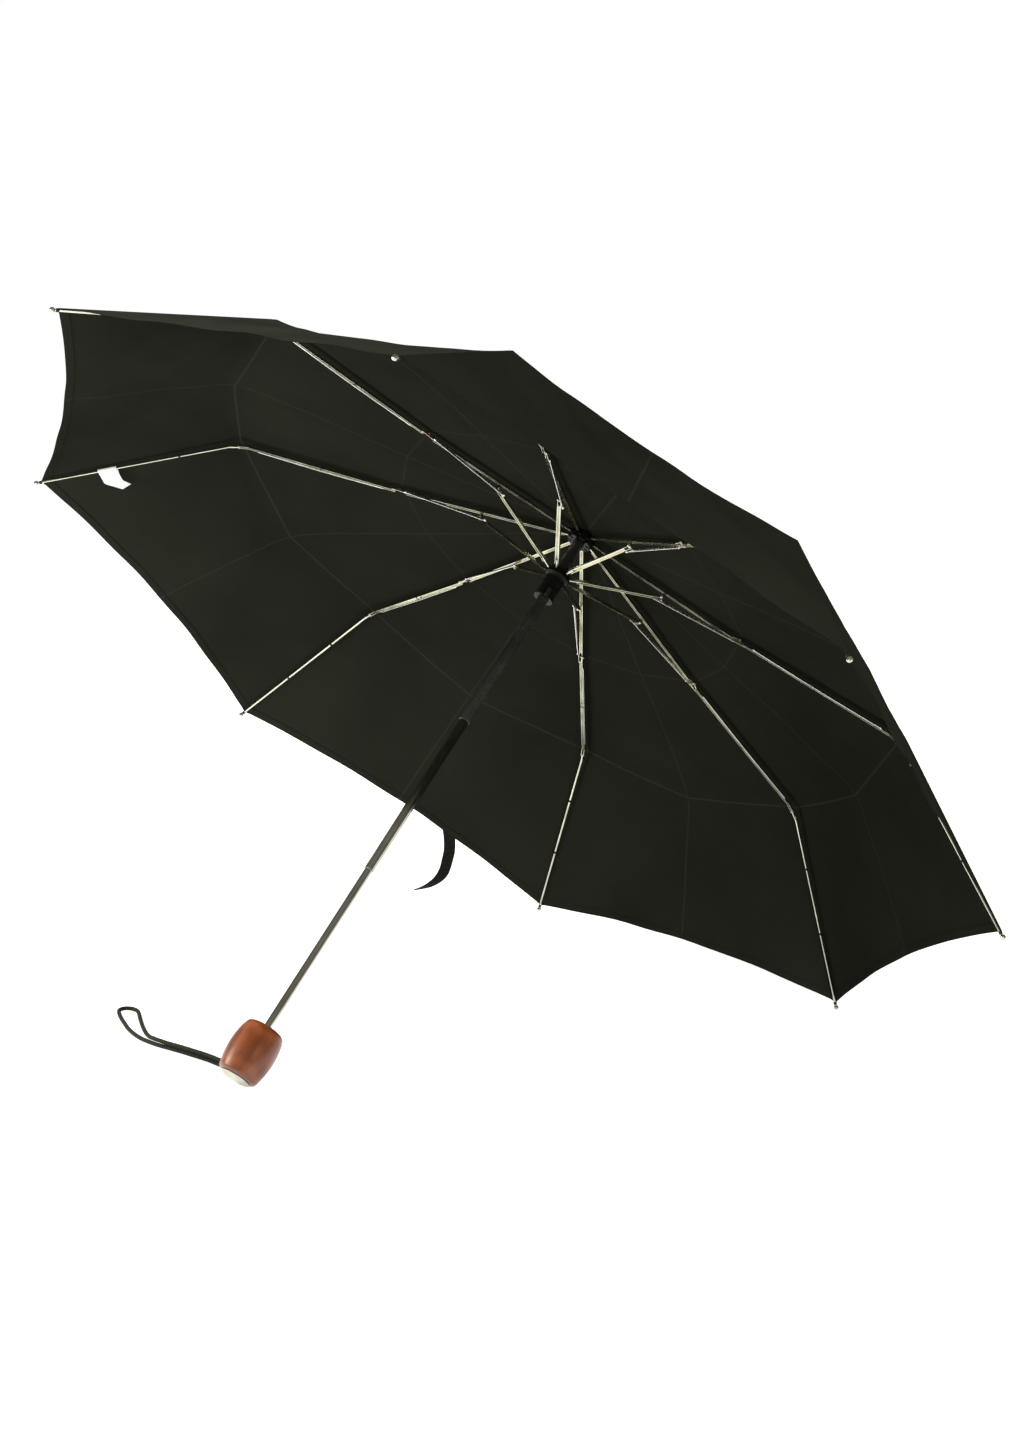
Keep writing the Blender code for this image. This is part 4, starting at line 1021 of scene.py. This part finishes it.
# Middle points of the strap with half its width there, in world millimetres.
STRAP_ROUTE = [
    ((-310.5, 232.4, 150.3), (-3.3, 0.1, -6.2)), ((-293.5, 244.4, 141.3), (-4.0, -0.6, -5.7)),
    ((-279.5, 257.1, 124.3), (-4.9, -1.2, -4.9)), ((-273.5, 268.0, 101.6), (-6.0, -2.4, -2.7)),
    ((-270.0, 275.3, 80.0), (-5.8, -2.7, -1.4)), ((-266.6, 276.1, 60.0), (-5.6, -2.8, 0.0)),
    ((-264.5, 271.5, 46.0), (-5.2, -2.8, 0.8)), ((-267.5, 270.5, 33.0), (-4.2, -3.4, 1.6)),
    ((-275.0, 269.5, 22.5), (-2.4, -4.6, 1.6)), ((-288.0, 268.5, 12.5), (-1.2, -5.0, 1.2)),
    ((-304.0, 268.0, 5.0), (-0.5, -4.6, 0.6))]
# The label's two edges, in the outer rib's own frame, in millimetres.
LABEL_ROWS = [
    ((10.0, 134.0, 0.3), (10.0, 116.5, 0.3)), ((3.0, 134.5, 2.7), (3.0, 116.5, 2.7)),
    ((-0.8, 134.8, 3.55), (-0.8, 117.0, 3.55)), ((-1.9, 134.9, 2.2), (-1.9, 117.0, 2.2)),
    ((-1.2, 134.8, 0.7), (-1.2, 117.0, 0.7)), ((3.0, 134.0, -0.7), (3.0, 116.4, -0.8)),
    ((9.5, 132.6, -3.4), (9.5, 115.0, -4.0)), ((11.2, 132.0, -4.6), (10.8, 114.2, -5.2)),
    ((12.2, 129.6, -6.0), (11.2, 113.2, -6.0)), ((14.4, 123.0, -8.6), (12.6, 110.6, -7.4)),
    ((16.6, 116.4, -11.2), (13.8, 107.6, -9.0))]


def tape(name, rows, thickness, material, body, slot, hem=0.0):
    """A closed strip of cloth from rows of middle points. Its hems are thicker by a share."""
    rows = np.array([[tuple(p) for p in row] for row in rows])
    high, wide = rows.shape[:2]
    along = np.gradient(rows, axis=0)
    across = np.gradient(rows, axis=1)
    normal = unit(np.cross(along, across))
    place = np.linspace(0.0, 1.0, wide)
    edge = np.minimum(place, 1.0 - place)
    body_half = 0.5 * thickness * (0.78 + hem * np.exp(-((edge - 0.10) / 0.07) ** 2))
    half = np.where(edge < 0.001, 0.25 * thickness, body_half)[None, :, None]
    front, back = rows + normal * half, rows - normal * half
    ring = np.concatenate([front, back[:, ::-1]], axis=1)
    run = np.concatenate([[0.0], np.cumsum(np.linalg.norm(np.diff(rows[:, wide // 2], axis=0), axis=1))])
    width = np.linalg.norm(rows[:, -1] - rows[:, 0], axis=1)
    shape = Shape()
    base = shape.grid(list(ring), closed=True)
    last = base + (high - 1) * 2 * wide
    for start, flip in ((base, True), (last, False)):
        for c in range(wide - 1):
            quad = (start + c, start + c + 1, start + 2 * wide - 2 - c, start + 2 * wide - 1 - c)
            shape.faces.append(quad[::-1] if flip else quad)
    shares = list(place) + list(place[::-1])
    shape.uvs = [(share * width.max(), run[r]) for r in range(high) for share in shares]
    obj = shape.make(name, material, body, slot, angle=55.0)
    return obj, float(width.max()), float(run[-1])


def between(rows, columns):
    """Fill each pair of edge points with a straight row of points."""
    return [[a.lerp(b, c / (columns - 1)) for c in range(columns)] for a, b in rows]


def build_strap():
    middles = catmull([row[0] for row in STRAP_ROUTE], 8)
    sides = catmull([row[1] for row in STRAP_ROUTE], 8)
    rows = []
    for i, (middle, side) in enumerate(zip(middles, sides)):
        left = (len(middles) - 1 - i) / 8.0
        if left < 1.0:
            side = side * (0.35 + 0.65 * left ** 0.6)
        rows.append(((middle - side) * MM, (middle + side) * MM))
    body = f"outer_rib_{STRAP_SPOKE}"
    ribbon = ribbon_material("strap_tape", (0.004, 0.004, 0.0035), (0.012, 0.012, 0.010),
                             420.0, 0.75, 0.0)
    strap, width, length = tape("closing_strap_tape", between(rows, 13), 0.8 * MM, ribbon, body,
                                "closing_strap", hem=0.35)
    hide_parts("closing_strap")
    stitches = Shape()
    for share in (0.14, 0.86):
        line = even([a.lerp(b, share) for a, b in rows], 1.1 * MM)
        for a, b in zip(line[::2], line[1::2]):
            a, b = Vector(a), Vector(b)
            side = Vector(rows[0][1] - rows[0][0]).cross(b - a).normalized()
            for face in (-1.0, 1.0):
                lift = side * face * 0.46 * MM
                stitches.tube([a + lift * 0.6, a.lerp(b, 0.2) + lift, a.lerp(b, 0.8) + lift,
                               b + lift * 0.6], 0.13 * MM, 5)
    thread = stitches.make("closing_strap_stitches", BLACK_THREAD, body, "closing_strap", angle=180.0)
    gather(strap)
    gather(thread)


def build_label():
    place = outer_frame(2)
    left = [p * MM for p in catmull([row[0] for row in LABEL_ROWS], 6)]
    right = [p * MM for p in catmull([row[1] for row in LABEL_ROWS], 6)]
    rows = [[place @ p for p in row] for row in between(list(zip(left, right)), 13)]
    satin = ribbon_material("label_satin", (0.88, 0.88, 0.87), (0.96, 0.96, 0.95),
                            700.0, 0.42, 0.1)
    label, width, length = tape("care_label_satin", rows, 0.3 * MM, satin, "outer_rib_2",
                                "care_label", hem=0.25)
    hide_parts("care_label")


# ------------------------------------------------------------------ finish

add_camera()
add_stage()
build_cord()
finish_cad_nodes()
build_handle()
build_fittings()
build_strap()
build_label()
for piece, zone in build_canopy():
    width, length, area = sheet_facts(piece)
